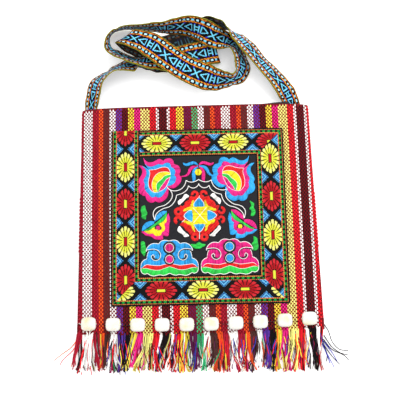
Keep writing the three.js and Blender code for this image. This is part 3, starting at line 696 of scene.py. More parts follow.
def polished_resin(name, white, cream):
    """Tumbled white resin. A soft glow under a clear polish, clouded here and there with cream."""
    material, tree = new_material(name)
    place = add_node(tree, "ShaderNodeTexCoord").outputs["Object"]
    cloudy = add_node(tree, "ShaderNodeTexNoise", {"Vector": place, "Scale": 1 / (14 * MM), "Detail": 3.0})
    level = add_node(tree, "ShaderNodeMapRange", {
        "Value": cloudy.outputs["Fac"], "From Min": 0.5, "From Max": 0.72})
    tone = add_node(tree, "ShaderNodeMix", {
        MIX_FACTOR: level.outputs["Result"], MIX_FIRST: (*white, 1), MIX_SECOND: (*cream, 1)},
        data_type="RGBA")
    grain = add_node(tree, "ShaderNodeTexNoise", {"Vector": place, "Scale": 1 / (1.2 * MM)})
    return dress(material, {"Height": grain.outputs["Fac"], "Strength": 0.06, "Distance": 0.1 * MM}, {
        "Base Color": tone.outputs[MIX_RESULT], "Roughness": 0.24, "IOR": 1.54, "Coat Weight": 0.3,
        "Coat Roughness": 0.12, "Subsurface Weight": 0.12, "Subsurface Scale": 2 * MM})


def show(name, mesh, material, slot, *nodes):
    """Puts a finished mesh in the scene as a piece of the bag."""
    piece = bpy.data.objects.new(name, mesh)
    bpy.context.collection.objects.link(piece)
    if material.name not in piece.data.materials:
        piece.data.materials.append(material)
    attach(piece, "root")
    if nodes:
        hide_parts(*nodes)
    return piece


def paint(mesh, colours, domain):
    """Stores one colour for each point, or each face's corners, as yarn_colour."""
    rgba = np.ones((len(colours), 4), dtype=np.float32)
    rgba[:, :3] = colours
    if domain == "CORNER":
        totals = np.empty(len(mesh.polygons), dtype=np.int32)
        mesh.polygons.foreach_get("loop_total", totals)
        rgba = np.repeat(rgba, totals, axis=0)
    mesh.color_attributes.new("yarn_colour", "FLOAT_COLOR", domain).data.foreach_set("color", rgba.ravel())


def sheet_mesh(name, over, under, ring=False):
    """Closed mesh between two grids of points in millimetres. Its faces run over, under, then the edges."""
    rows, over_across, under_across = over.shape[0], over.shape[1], under.shape[1]
    top = np.arange(rows * over_across).reshape(rows, over_across)
    bottom = rows * over_across + np.arange(rows * under_across).reshape(rows, under_across)
    if ring:
        top, bottom = np.vstack([top, top[:1]]), np.vstack([bottom, bottom[:1]])
    lower = (bottom[:-1, :-1], bottom[:-1, 1:], bottom[1:, 1:], bottom[1:, :-1])
    quads = [np.stack([top[:-1, :-1], top[1:, :-1], top[1:, 1:], top[:-1, 1:]], -1).reshape(-1, 4),
             np.stack(lower, -1).reshape(-1, 4),
             np.stack([bottom[:-1, 0], bottom[1:, 0], top[1:, 0], top[:-1, 0]], -1),
             np.stack([top[:-1, -1], top[1:, -1], bottom[1:, -1], bottom[:-1, -1]], -1)]
    faces = np.vstack(quads).tolist()
    if not ring and over_across == under_across:
        faces += np.stack([top[0, :-1], top[0, 1:], bottom[0, 1:], bottom[0, :-1]], -1).tolist()
        faces += np.stack([bottom[-1, :-1], bottom[-1, 1:], top[-1, 1:], top[-1, :-1]], -1).tolist()
    elif not ring:
        faces.append(top[0].tolist() + bottom[0, ::-1].tolist())
        faces.append(bottom[-1].tolist() + top[-1, ::-1].tolist())
    points = np.vstack([over.reshape(-1, 3), under.reshape(-1, 3)]) * MM
    mesh = bpy.data.meshes.new(name)
    mesh.from_pydata(points.tolist(), [], faces)
    mesh.shade_smooth()
    return mesh


def thread_uv(mesh, along_across):
    """Lays each point's place along and across the cloth, in millimetres, in the UV map named thread."""
    corners = np.empty(len(mesh.loops), dtype=np.int32)
    mesh.loops.foreach_get("vertex_index", corners)
    layer = mesh.uv_layers.new(name="thread")
    layer.data.foreach_set("uv", np.asarray(along_across, dtype=np.float32)[corners].ravel())


def new_tree(name, inputs):
    """Node tree that takes a geometry and other inputs, with its input node."""
    tree = bpy.data.node_groups.new(name, "GeometryNodeTree")
    for socket, kind in (("Geometry", "Geometry"), *inputs, ("Material", "Material")):
        tree.interface.new_socket(socket, in_out="INPUT", socket_type=f"NodeSocket{kind}")
    tree.interface.new_socket("Geometry", in_out="OUTPUT", socket_type="NodeSocketGeometry")
    return tree, add_node(tree, "NodeGroupInput")


def end_tree(tree, given, geometry):
    """Ends a node tree: smooth, realized and in the given material."""
    smooth = add_node(tree, "GeometryNodeSetShadeSmooth", {"Geometry": geometry})
    whole = add_node(tree, "GeometryNodeRealizeInstances", {"Geometry": smooth.outputs["Geometry"]})
    dyed = add_node(tree, "GeometryNodeSetMaterial", {
        "Geometry": whole.outputs["Geometry"], "Material": given.outputs["Material"]})
    add_node(tree, "NodeGroupOutput", {"Geometry": dyed.outputs["Geometry"]})
    return tree


def thread_tree():
    """Node tree that turns drawn lines into round threads of each line's own thickness."""
    tree, given = new_tree("Round threads", [("Sides", "Int")])
    lines = add_node(tree, "GeometryNodeMeshToCurve", {"Mesh": given.outputs["Geometry"]})
    thickness = add_node(tree, "GeometryNodeInputNamedAttribute", {"Name": "thread_radius"},
                         data_type="FLOAT")
    section = add_node(tree, "GeometryNodeCurvePrimitiveCircle", {
        "Resolution": given.outputs["Sides"], "Radius": 1.0})
    tubes = add_node(tree, "GeometryNodeCurveToMesh", {
        "Curve": lines.outputs["Curve"], "Profile Curve": section.outputs["Curve"],
        "Scale": thickness.outputs["Attribute"], "Fill Caps": True})
    return end_tree(tree, given, tubes.outputs["Mesh"])


def float_tree():
    """Node tree that lays one warp float on each marked point of the cloth."""
    tree, given = new_tree("Warp floats", [("Float Size", "Vector"), ("Segments", "Int"), ("Rings", "Int")])
    marks = add_node(tree, "GeometryNodeMeshToPoints", {"Mesh": given.outputs["Geometry"]})
    grain = add_node(tree, "GeometryNodeMeshUVSphere", {
        "Segments": given.outputs["Segments"], "Rings": given.outputs["Rings"], "Radius": 0.5})
    turned = add_node(tree, "GeometryNodeTransform", {
        "Geometry": grain.outputs["Mesh"], "Rotation": (math.pi / 2, 0, 0)})
    turn = add_node(tree, "GeometryNodeInputNamedAttribute", {"Name": "float_turn"},
                    data_type="FLOAT_VECTOR")
    laid = add_node(tree, "GeometryNodeInstanceOnPoints", {
        "Points": marks.outputs["Points"], "Instance": turned.outputs["Geometry"],
        "Rotation": turn.outputs["Attribute"], "Scale": given.outputs["Float Size"]})
    return end_tree(tree, given, laid.outputs["Instances"])


def grow(name, mesh, tree, inputs):
    """Runs a node tree on a mesh and returns the plain mesh that comes out."""
    carrier = bpy.data.objects.new(f"{name}_lines", mesh)
    bpy.context.collection.objects.link(carrier)
    nodes = carrier.modifiers.new(tree.name, "NODES")
    nodes.node_group = tree
    for socket in tree.interface.items_tree:
        if socket.in_out == "INPUT" and socket.name in inputs:
            nodes[socket.identifier] = inputs[socket.name]
    depsgraph = bpy.context.evaluated_depsgraph_get()
    grown = bpy.data.meshes.new_from_object(carrier.evaluated_get(depsgraph), preserve_all_data_layers=True,
                                            depsgraph=depsgraph)
    grown.name = name
    bpy.data.objects.remove(carrier)
    bpy.data.meshes.remove(mesh)
    return grown


def threads(name, lines, sides, material):
    """Round threads along lines. Each line has points in millimetres, a colour and a thickness."""
    counts = [len(line["points"]) for line in lines]
    points = np.vstack([line["points"] for line in lines]) * MM
    starts = np.concatenate([[0], np.cumsum(counts)[:-1]])
    edges = np.vstack([np.stack([np.arange(s, s + n - 1), np.arange(s + 1, s + n)], -1)
                       for s, n in zip(starts, counts)])
    mesh = bpy.data.meshes.new(f"{name}_lines")
    mesh.from_pydata(points.tolist(), edges.tolist(), [])
    paint(mesh, np.repeat([line["colour"] for line in lines], counts, axis=0), "POINT")
    radii = np.concatenate([np.broadcast_to(np.asarray(line["thick"]) / 2, n)
                            for line, n in zip(lines, counts)])
    radius = mesh.attributes.new("thread_radius", "FLOAT", "POINT")
    radius.data.foreach_set("value", (radii * MM).astype(np.float32))
    return grow(name, mesh, thread_tree(), {"Sides": sides, "Material": material})


def smooth_line(points, step, closed=False):
    """Even points along a rounded curve through the given ones."""
    given = np.asarray(points, dtype=float)
    if closed:
        padded = np.vstack([given[-1], given, given[0], given[1]])
    else:
        padded = np.vstack([2 * given[0] - given[1], given, 2 * given[-1] - given[-2]])
    t = np.linspace(0, 1, 12, endpoint=False)[:, None]
    parts = []
    for p0, p1, p2, p3 in zip(padded[:-3], padded[1:-2], padded[2:-1], padded[3:]):
        parts.append(0.5 * (2 * p1 + (p2 - p0) * t + (2 * p0 - 5 * p1 + 4 * p2 - p3) * t ** 2
                            + (3 * p1 - p0 - 3 * p2 + p3) * t ** 3))
    dense = np.vstack(parts + [padded[-2][None]])
    return resample(dense, max(2, int(round(line_length(dense) / step)) + 1))


def line_length(points):
    """Length of a line through points."""
    return float(np.linalg.norm(np.diff(points, axis=0), axis=1).sum())


def resample(points, count):
    """Evenly spaced points along a line."""
    reach = np.concatenate([[0], np.cumsum(np.linalg.norm(np.diff(points, axis=0), axis=1))])
    wanted = np.linspace(0, reach[-1], count)
    return np.stack([np.interp(wanted, reach, points[:, k]) for k in range(points.shape[1])], -1)


def seam_at(x):
    """Level of the bottom seam, which bows up towards the sides."""
    return SEAM_Y + SEAM_BOW * (2 * x / CLOTH["seam"]) ** 2


def half_width_at(y):
    """Half of the bag's width at a level."""
    up = np.clip((y - SEAM_Y) / CLOTH["height"], 0, 1)
    return (CLOTH["seam"] + (CLOTH["mouth"] - CLOTH["seam"]) * up) / 2


def hollow_at(x, y):
    """How far the front's inner face stands clear of where it would lie flat."""
    across = np.minimum(1, np.abs(x) / (half_width_at(y) - CLOTH["thick"]))
    up = np.clip((y - seam_at(x)) / (MOUTH_Y - seam_at(x)), 0, 1)
    climb = (1 - (1 - up) ** CLIMB_EASE) ** CLIMB_ROUND
    return CLOTH["rise"] * np.sqrt(1 - across ** SIDE_ROUNDNESS) * climb * (1 - CLOTH["drop"] * up ** 2)


def front_normal(x, y):
    """Direction square to the front cloth."""
    step = 0.25
    slope_x = (hollow_at(x + step, y) - hollow_at(x - step, y)) / (2 * step)
    slope_y = (hollow_at(x, y + step) - hollow_at(x, y - step)) / (2 * step)
    normal = np.stack([-slope_x, -slope_y, np.ones_like(slope_x)], -1)
    return normal / np.linalg.norm(normal, axis=-1, keepdims=True)


def front_top(x, y):
    """Height of the front cloth's upper face."""
    return FRONT_Z + hollow_at(x, y) + CLOTH["thick"] / front_normal(x, y)[..., 2]


def patch_point(points, height):
    """Points of the patch, turned a little on the bag, at a height above the front cloth."""
    a, b = np.asarray(points, dtype=float).T
    x = PATCH["x"] + a * math.cos(PATCH["turn"]) - b * math.sin(PATCH["turn"])
    y = PATCH["y"] + a * math.sin(PATCH["turn"]) + b * math.cos(PATCH["turn"])
    return np.stack([x, y, front_top(x, y) + CLOTH["gap"] + height], -1)


def stripe_colours(place, pitch):
    """Colour name and stripe number of each warp yarn, from its distance from the middle line.

    The yarns left of the table's first stripe are maroon.
    """
    names, stripe = [], []
    for number, (name, yarns) in enumerate(STRIPES * 3):
        names += [name] * yarns
        stripe += [number] * yarns
    first = len(names) // 3 + MIDDLE_YARN
    pick = first + np.floor(np.asarray(place) / pitch + 0.25).astype(int)
    numbers = np.array(stripe)[pick]
    return [names[k] if k >= len(names) // 3 else "maroon" for k in pick], numbers - numbers.min()


class BAG_OT_stage(bpy.types.Operator):
    """Set the camera, the white floor and the soft light"""
    bl_idname = "bag.stage"
    bl_label = "Stage"

    def execute(self, context):
        settings = context.scene.bag_stage
        away = Vector((0, -math.cos(settings.elevation), math.sin(settings.elevation)))
        right = Vector((0, 0, 1)).cross(away).normalized()
        up = away.cross(right)
        turn, lift = math.cos(settings.roll), math.sin(settings.roll)
        axes = Matrix((turn * right + lift * up, turn * up - lift * right, away)).transposed()
        camera = bpy.data.objects.new("camera", bpy.data.cameras.new("camera"))
        camera.data.sensor_width = 36
        camera.data.lens = settings.lens
        eye = Vector(settings.target) + away * settings.distance
        camera.matrix_world = Matrix.Translation(eye) @ axes.to_4x4()
        context.collection.objects.link(camera)
        context.scene.camera = camera
        context.scene.view_settings.view_transform = "Standard"

        corners = [(x * FLOOR_REACH, y * FLOOR_REACH, 0) for x, y in ((-1, -1), (1, -1), (1, 1), (-1, 1))]
        ground = bpy.data.meshes.new("floor")
        ground.from_pydata(corners, [], [(0, 1, 2, 3)])
        floor = bpy.data.objects.new("floor", ground)
        context.collection.objects.link(floor)
        floor.data.materials.append(self.paper(settings))

        world = bpy.data.worlds.new("surround")
        world.use_nodes = True
        world.node_tree.nodes["Background"].inputs["Color"].default_value = (1, 1, 1, 1)
        world.node_tree.nodes["Background"].inputs["Strength"].default_value = settings.surround
        context.scene.world = world
        light = bpy.data.lights.new("softbox", "AREA")
        light.size = SOFTBOX["size"]
        light.energy = settings.softbox
        softbox = bpy.data.objects.new("softbox", light)
        softbox.location = SOFTBOX["place"]
        aim = Vector(SOFTBOX["aim"]) - softbox.location
        softbox.rotation_euler = aim.to_track_quat("-Z", "Y").to_euler()
        context.collection.objects.link(softbox)
        return {"FINISHED"}

    def paper(self, settings):
        """Matt white paper lit a little from behind, so that shadows on it stay pale."""
        material, tree = new_material("Matt white paper")
        place = add_node(tree, "ShaderNodeTexCoord").outputs["Object"]
        tooth = add_node(tree, "ShaderNodeTexNoise", {"Vector": place, "Scale": 1 / (2 * MM)})
        return dress(material, {"Height": tooth.outputs["Fac"], "Strength": 0.05, "Distance": 0.1 * MM}, {
            "Base Color": (*settings.floor, 1), "Roughness": 0.9, "IOR": 1.45, "Specular IOR Level": 0.1,
            "Emission Color": (1, 1, 1, 1), "Emission Strength": settings.glow})


class BAG_OT_strap(bpy.types.Operator):
    """Weave the strap along its route"""
    bl_idname = "bag.strap"
    bl_label = "Strap"

    def execute(self, context):
        settings = context.scene.bag_strap
        width, cell = settings.width / MM, settings.cell / MM
        middle, edge, face, gather, reach = self.sections(CELL_STRETCH * cell)
        count = int(round(width / cell))
        half = gather[:, None] * width / 2
        over_across = np.linspace(-1, 1, count + 1)
        under_across = np.linspace(-1, 1, count // 3 + 1)
        thinned = 1 - STRAP_EDGE["thinning"] * np.abs(over_across) ** STRAP_EDGE["sharpness"]
        over = middle[:, None] + edge[:, None] * (over_across * half)[..., None]
        over = over + face[:, None] * (STRAP_THICK / 2 * thinned)[None, :, None]
        under = middle[:, None] + edge[:, None] * (under_across * half)[..., None]
        under = under - face[:, None] * STRAP_THICK / 2
        for skin in (over, under):
            skin[..., 2] = np.maximum(skin[..., 2], FLOOR_GAP)
        mesh = sheet_mesh("strap", over, under)
        along = (reach[1:] + reach[:-1])[:, None] / 2
        over_cells = (over_across[1:] + over_across[:-1])[None] * width / 4
        under_cells = (under_across[1:] + under_across[:-1])[None] * width / 4
        colours = [self.pattern(settings, along, over_cells).reshape(-1, 3),
                   self.reverse(settings, along, under_cells).reshape(-1, 3)]
        rest = len(mesh.polygons) - sum(len(part) for part in colours)
        paint(mesh, np.vstack(colours + [np.tile(settings.edge, (rest, 1))]), "CORNER")
        grids = [np.stack(np.meshgrid(reach, marks * width / 2, indexing="ij"), -1).reshape(-1, 2)
                 for marks in (over_across, under_across)]
        thread_uv(mesh, np.vstack(grids))
        weave = jacquard_ribbon("Figured woven strap", 1.0)
        strap = show("woven_strap", mesh, weave, "strap_ribbon", "strap")
        return {"FINISHED"}

    def sections(self, step):
        """Even sections along the route: middle, direction of edge and of face, gather and reach."""
        rows = np.array(STRAP_ROUTE, dtype=float)
        points = rows[:, :3] / MM
        turn, tilt = np.radians(rows[:, 3]), np.radians(rows[:, 4])
        aim = np.stack([np.cos(tilt) * np.cos(turn), np.cos(tilt) * np.sin(turn), np.sin(tilt)], -1)
        padded = np.vstack([2 * points[0] - points[1], points, 2 * points[-1] - points[-2]])
        part = (np.arange(ROUTE_STEPS) / ROUTE_STEPS)[:, None]
        ease = part * part * (3 - 2 * part)
        middle, edge, gather = [], [], []
        for k in range(len(points) - 1):
            p0, p1, p2, p3 = padded[k:k + 4]
            d0, d1, d2 = (np.linalg.norm(b - a) ** 0.5 for a, b in ((p0, p1), (p1, p2), (p2, p3)))
            leave = d1 * ((p1 - p0) / d0 - (p2 - p0) / (d0 + d1) + (p2 - p1) / d1)
            arrive = d1 * ((p2 - p1) / d1 - (p3 - p1) / (d1 + d2) + (p3 - p2) / d2)
            middle.append(p1 + leave * part + (3 * (p2 - p1) - 2 * leave - arrive) * part ** 2
                          + (2 * (p1 - p2) + leave + arrive) * part ** 3)
            edge.append(aim[k] + (aim[k + 1] - aim[k]) * ease)
            gather.append(rows[k, 5] + (rows[k + 1, 5] - rows[k, 5]) * ease[:, 0])
        middle = np.vstack(middle + [points[-1:]])
        edge = np.vstack(edge + [aim[-1:]])
        gather = np.concatenate(gather + [rows[-1:, 5]])
        reach = np.concatenate([[0], np.cumsum(np.linalg.norm(np.diff(middle, axis=0), axis=1))])
        even = np.linspace(0, reach[-1], int(reach[-1] / step) + 1)
        middle, edge = (np.stack([np.interp(even, reach, column) for column in values.T], -1)
                        for values in (middle, edge))
        gather = np.interp(even, reach, gather)
        along = np.gradient(middle, axis=0)
        along /= np.linalg.norm(along, axis=1, keepdims=True)
        edge -= along * (edge * along).sum(1, keepdims=True)
        edge /= np.linalg.norm(edge, axis=1, keepdims=True)
        return middle, edge, np.cross(along, edge), gather, even

    def pattern(self, settings, along, across):
        """Colours of the face: dotted side bands and, between them, ladders, triangles and crosses."""
        along, across = np.broadcast_arrays(along - settings.start / MM, across)
        side = np.abs(across)
        colours = np.empty(along.shape + (3,))
        colours[:] = settings.ground
        repeat = settings.repeat / MM
        pitch = repeat / CHAIN["dots"]
        from_dot = np.abs((along + pitch / 2) % pitch - pitch / 2)
        from_chain = np.abs(side - CHAIN["middle"])
        clear = np.where(from_dot < CHAIN["ring"], CHAIN["ring_half"], CHAIN["lines_from"])
        lines = (from_chain > clear) & (from_chain < CHAIN["half"])
        stroke = (along + side) % CHAIN["stroke_pitch"]
        colours[lines] = settings.orange
        colours[lines & (stroke < CHAIN["rust_to"])] = settings.rust
        colours[lines & (stroke > CHAIN["gold_from"])] = settings.gold
        colours[(from_dot > CHAIN["dash_from"]) & (from_chain < CHAIN["dot_half"])] = settings.light_blue
        colours[(from_dot < CHAIN["dot"]) & (from_chain < CHAIN["dot_half"])] = settings.dot
        colours[side > CHAIN["selvedge"]] = settings.edge
        from_ladder = np.abs((along + repeat / 2) % repeat - repeat / 2)
        from_cross = repeat / 2 - from_ladder
        rung = (side > FIGURE["rung_from"]) & (side < FIGURE["rung_to"])
        ladder = (from_ladder < FIGURE["ladder"]) & ((from_ladder > FIGURE["rail_from"]) | rung)
        slope = FIGURE["base_half"] * (FIGURE["tip"] - from_ladder) / FIGURE["long"]
        outline = (from_ladder < FIGURE["base_to"]) | (side > slope - FIGURE["line"])
        triangle = (from_ladder > FIGURE["base_from"]) & (side < slope) & outline
        cross = (np.abs(from_cross - side) < FIGURE["cross_line"]) & (from_cross < FIGURE["cross"])
        figure = (side < FIGURE["half"]) & (ladder | triangle | cross)
        colours[figure] = settings.light_blue
        colours[figure & (side > FIGURE["indigo_from"])] = settings.indigo
        return colours

    def reverse(self, settings, along, across):
        """Colours of the reverse: dark loose floats with a faint ghost of the face."""
        return (1 - GHOST) * np.array(settings.reverse) + GHOST * self.pattern(settings, along, across)


class BAG_OT_cloth(bpy.types.Operator):
    """Weave the striped front and back"""
    bl_idname = "bag.cloth"
    bl_label = "Striped cloth"

    def execute(self, context):
        settings = context.scene.bag_yarn
        cotton = handspun_cotton("Handspun cotton stripes", 0.85, 0.03, 0.9, 0.1)
        back = self.back(settings, cotton)
        front = self.front(settings, cotton)
        floats = show("front_warp", self.floats(settings, cotton), cotton, "striped_cloth")
        return {"FINISHED"}

    def front(self, settings, material):
        """Front sheet, standing clear of the back and thick along its own normal."""
        u, v = np.meshgrid(*(np.linspace(0, 1, count) for count in FRONT_GRID), indexing="ij")
        across = np.sin((u - 0.5) * math.pi)
        seam = seam_at(across * CLOTH["seam"] / 2)
        y = seam + (MOUTH_Y - seam) * v ** SEAM_CROWDING
        x = across * (half_width_at(y) - CLOTH["thick"])
        inside = np.stack([x, y, FRONT_Z + hollow_at(x, y)], -1)
        mesh = sheet_mesh("front_panel", inside + front_normal(x, y) * CLOTH["thick"], inside)
        paint(mesh, np.tile(settings.weft, (len(mesh.polygons), 1)), "CORNER")
        return show("front_cloth", mesh, material, "striped_cloth", "front_panel")

    def back(self, settings, material):
        """Flat back, one column of cells for each warp yarn and one row for each weft."""
        pitch = settings.warp_pitch / MM
        columns = int(CLOTH["seam"] / pitch)
        rows = int(CLOTH["height"] / (settings.float_pitch / MM / 2))
        names, _ = stripe_colours((np.arange(columns) - (columns - 1) / 2) * pitch, pitch)
        u, v = np.meshgrid(np.linspace(-1, 1, columns + 1), np.linspace(0, 1, rows + 1), indexing="ij")
        x = u * CLOTH["seam"] / 2
        y = seam_at(x) + (MOUTH_Y - seam_at(x)) * v
        x = u * half_width_at(y)
        over = np.stack([x, y, np.full_like(x, CLOTH["thick"])], -1)
        mesh = sheet_mesh("back_panel", over, over * (1, 1, 0))
        yarn = np.array([getattr(settings, name) for name in names])[:, None]
        i, j = np.meshgrid(np.arange(columns), np.arange(rows), indexing="ij")
        cells = np.where(((i + j) % 2 == 0)[..., None], yarn, 0.55 * yarn + 0.45 * np.array(settings.weft))
        cells = cells.reshape(-1, 3)
        rest = len(mesh.polygons) - 2 * len(cells)
        paint(mesh, np.vstack([cells, cells, np.tile(settings.weft, (rest, 1))]), "CORNER")
        return show("back_cloth", mesh, material, "striped_cloth", "back_panel")

    def floats(self, settings, material):
        """Warp floats on the hem and on the front round the patch, staggered from yarn to yarn."""
        pitch, rise = settings.warp_pitch / MM, settings.float_pitch / MM
        count = int((CLOTH["mouth"] + CLOTH["rise"]) / pitch)
        place = (np.arange(count) - (count - 1) / 2) * pitch
        names, stripe = stripe_colours(place, pitch)
        levels = np.linspace(SEAM_Y, MOUTH_Y, 60)
        tracks = np.array([self.track(level, place) for level in levels])
        chance = np.random.default_rng(7)
        frayed = chance.uniform(-1, 3, stripe.max() + 1)
        points, turns, colours = [], [], []
        for k in range(count):
            foot = seam_at(place[k]) - HEM["depth"] + frayed[stripe[k]]
            y = np.arange(foot + (0.5 if k % 2 else 1) * rise, MOUTH_Y - 0.4 * rise, rise)
            x = np.interp(y, levels, tracks[:, k])
            a, b = x - PATCH["x"], y - PATCH["y"]
            past = np.maximum(np.abs(a) - PATCH["wide"] / 2, np.abs(b) - PATCH["tall"] / 2)
            keep = np.isfinite(x) & (past > RIBBON["wide"] - 2)
            x, y = x[keep], y[keep]
            hem = y < seam_at(x)
            normal = front_normal(x, np.maximum(y, seam_at(x) + 0.6))
            normal[hem] = (0, 0, 1)
            spot = np.stack([x, y, FRONT_Z + hollow_at(x, y)], -1) + normal * CLOTH["thick"]
            spot[hem, 2] = HEM["thick"]
            points.append(spot)
            turns.append(np.stack([-np.arcsin(normal[:, 1]), np.arctan2(normal[:, 0], normal[:, 2]),
                                   np.zeros(len(x))], -1))
            tone = 1 + 0.1 * chance.standard_normal((len(x), 1))
            colours.append(np.clip(np.array(getattr(settings, names[k])) * tone, 0, 1))
        points, turns, colours = np.vstack(points), np.vstack(turns), np.vstack(colours)
        mesh = bpy.data.meshes.new("front_warp_lines")
        mesh.from_pydata((points * MM).tolist(), [], [])
        paint(mesh, colours, "POINT")
        mesh.attributes.new("float_turn", "FLOAT_VECTOR", "POINT").data.foreach_set(
            "vector", turns.astype(np.float32).ravel())
        size = (settings.float_width, settings.float_length, 2 * settings.float_height)
        return grow("front_warp", mesh, float_tree(), {"Float Size": size, "Segments": 6, "Rings": 4,
                                                       "Material": material})

    def track(self, level, place):
        """Where yarns lie at one level, from their distances over the cloth from the middle line."""
        x = np.linspace(-1, 1, 2001) * (half_width_at(level) - CLOTH["thick"]) * 0.9995
        height = hollow_at(x, level)
        reach = np.concatenate([[0], np.cumsum(np.hypot(np.diff(x), np.diff(height)))])
        return np.interp(place, reach - reach[-1] / 2, x, left=np.nan, right=np.nan)


class BAG_OT_facing(bpy.types.Operator):
    """Sew the black facing under the mouth's edge"""
    bl_idname = "bag.facing"
    bl_label = "Mouth facing"

    def execute(self, context):
        u, v = np.meshgrid(*(np.linspace(0, 1, count) for count in FACING_GRID), indexing="ij")
        x = FACING["left"] + (FACING["right"] - FACING["left"]) * u
        rise = np.clip((x - FACING["rise_from"]) / (FACING["rise_to"] - FACING["rise_from"]), 0, 1)
        rise = rise * rise * (3 - 2 * rise)
        top = MOUTH_Y - CLOTH["gap"] + (FACING["proud"] + CLOTH["gap"]) * rise
        y = MOUTH_Y - FACING["depth"] + (top - MOUTH_Y + FACING["depth"]) * v
        over = np.stack([x, y, FRONT_Z + hollow_at(x, y) - CLOTH["gap"]], -1)
        mesh = sheet_mesh("mouth_facing", over, over - (0, 0, FACING["thick"]))
        cotton = plain_weave_cotton("Black cotton facing", linear("#1C1C1E"), 0.9)
        facing = show("mouth_facing_cloth", mesh, cotton, "facing_cloth", "mouth_facing")
        return {"FINISHED"}


class BAG_OT_ribbon(bpy.types.Operator):
    """Weave the flower ribbon round the panel"""
    bl_idname = "bag.ribbon"
    bl_label = "Flower ribbon"

    def execute(self, context):
        settings = context.scene.bag_ribbon
        inner, outer = CLOTH["gap"], RIBBON["wide"]
        panel = np.array([PATCH["wide"], PATCH["tall"]])
        cells = int(round((outer - inner) / (settings.cell / MM)))
        side_cells = int(round((panel.mean() + inner + outer) / (settings.cell / MM)))
        along = np.arange(4 * side_cells) / side_cells
        corners = np.array([(-1, 1), (1, 1), (1, -1), (-1, -1), (-1, 1)], dtype=float)
        number = np.floor(along + 1e-9).astype(int)
        part = (along - number)[:, None]
        unit = corners[number] * (1 - part) + corners[number + 1] * part
        out = np.linspace(inner, outer, cells + 1)
        grid = unit[:, None] * (panel / 2 + out[:, None])
        flat = grid.reshape(-1, 2)
        puff = RIBBON["puff"] * np.sin(np.linspace(0, math.pi, cells + 1))
        lift = np.tile(RIBBON["thick"] + puff, len(along))
        over = patch_point(flat, lift).reshape(len(along), cells + 1, 3)
        few = grid[:, ::cells // 2][:, :3]
        under = patch_point(few.reshape(-1, 2), 0.0).reshape(len(along), few.shape[1], 3)
        mesh = sheet_mesh("border_ribbon", over, under, ring=True)
        ring = np.concatenate([grid, grid[:1]])
        centres = (ring[:-1, :-1] + ring[1:, :-1] + ring[1:, 1:] + ring[:-1, 1:]) / 4
        colours = self.pattern(settings, centres.reshape(-1, 2))
        rest = len(mesh.polygons) - len(colours)
        paint(mesh, np.vstack([colours, np.tile(settings.ground, (rest, 1))]), "CORNER")
        thread_uv(mesh, np.vstack([flat, few.reshape(-1, 2)]))
        ribbon = show("flower_ribbon", mesh, jacquard_ribbon("Figured flower ribbon", 1.1), "border_ribbon",
                      "border_ribbon")
        return {"FINISHED"}

    def pattern(self, settings, points):
        """Colours of the ribbon. Sides meet in mitres, but the left side runs on to the top edge."""
        a, b = points.T
        past_side, past_end = np.abs(a) - PATCH["wide"] / 2, np.abs(b) - PATCH["tall"] / 2
        side = np.where(past_side > past_end, np.where(a > 0, "right", "left"),
                        np.where(b > 0, "top", "bottom"))
        side[(a < 0) & (b > 0) & (past_side > 0)] = "left"
        colours = np.empty((len(points), 3))
        for name, row in RIBBON_SIDES.items():
            mine = side == name
            along, out = (b, past_side) if name in ("left", "right") else (a, past_end)
            colours[mine] = self.band(settings, along[mine], out[mine], row)
        return colours

    def band(self, settings, along, across, row):
        """One side's colours from the place along it and the distance from its inner edge."""
        aside = across - RIBBON["wide"] / 2
        edge = np.abs(aside)
        colours = np.empty((len(along), 3))
        colours[:] = settings.ground
        field = edge < EDGING["field"]
        number = np.round((along - row["first"]) / row["pitch"]).astype(int)
        from_flower = along - row["first"] - number * row["pitch"]
        red = (number % 2 == 0) == row["red"]

        from_diamond = np.abs(np.abs(from_flower) - row["pitch"] / 2)
        depth = (EDGING["field"] - edge) / DIAMOND["half_wide"] + from_diamond / DIAMOND["half_long"]
        diamond = field & (depth < 1)
        specks = np.sin(along * DIAMOND["speck"]) * np.sin(aside * DIAMOND["speck"])
        light = np.sin(depth * DIAMOND["rings"]) + DIAMOND["speckle"] * specks > 0
        colours[diamond & light] = settings.light_blue
        colours[diamond & ~light] = settings.deep_blue

        part_long, part_wide = from_flower / FLOWER["half_long"], aside / FLOWER["half_wide"]
        power = FLOWER["power"]
        spread = (np.abs(part_long) ** power + np.abs(part_wide) ** power) ** (1 / power)
        turn = np.arctan2(part_wide, part_long) * FLOWER["petals"] / (2 * math.pi)
        from_petal = 0.5 - np.abs(turn % 1 - 0.5)
        notch = FLOWER["notch"] * np.maximum(0, from_petal - FLOWER["notch_from"])
        flower = field & (spread < FLOWER["reach"] - notch)
        tips = flower & (spread > FLOWER["tip_from"])
        gaps = flower & (from_petal > FLOWER["gap_from"]) & (spread > FLOWER["gap_root"])
        colours[flower & red] = settings.petal_red
        colours[flower & ~red] = settings.petal_yellow
        colours[tips & red] = settings.tip_red
        colours[tips & ~red] = settings.tip_yellow
        colours[gaps & red] = settings.gap_red
        colours[gaps & ~red] = settings.gap_olive
        rim_long, rim_wide = FLOWER["rim"]
        colours[(np.abs(from_flower) < rim_long) & (edge < rim_wide)] = settings.ground
        heart_long, heart_wide = FLOWER["heart"]
        heart = (np.abs(from_flower) < heart_long) & (edge < heart_wide)
        colours[heart & red] = settings.petal_yellow
        colours[heart & ~red] = settings.petal_red

        dotted = along % EDGING["dot_pitch"] < EDGING["dot"]
        for low, high in EDGING["lines"]:
            colours[dotted & (edge >= low) & (edge < high)] = settings.orange
        dashed = along % EDGING["dash_pitch"] < EDGING["dash"]
        low, high = EDGING["dashes"]
        colours[dashed & (edge >= low) & (edge < high)] = settings.green
        return colours


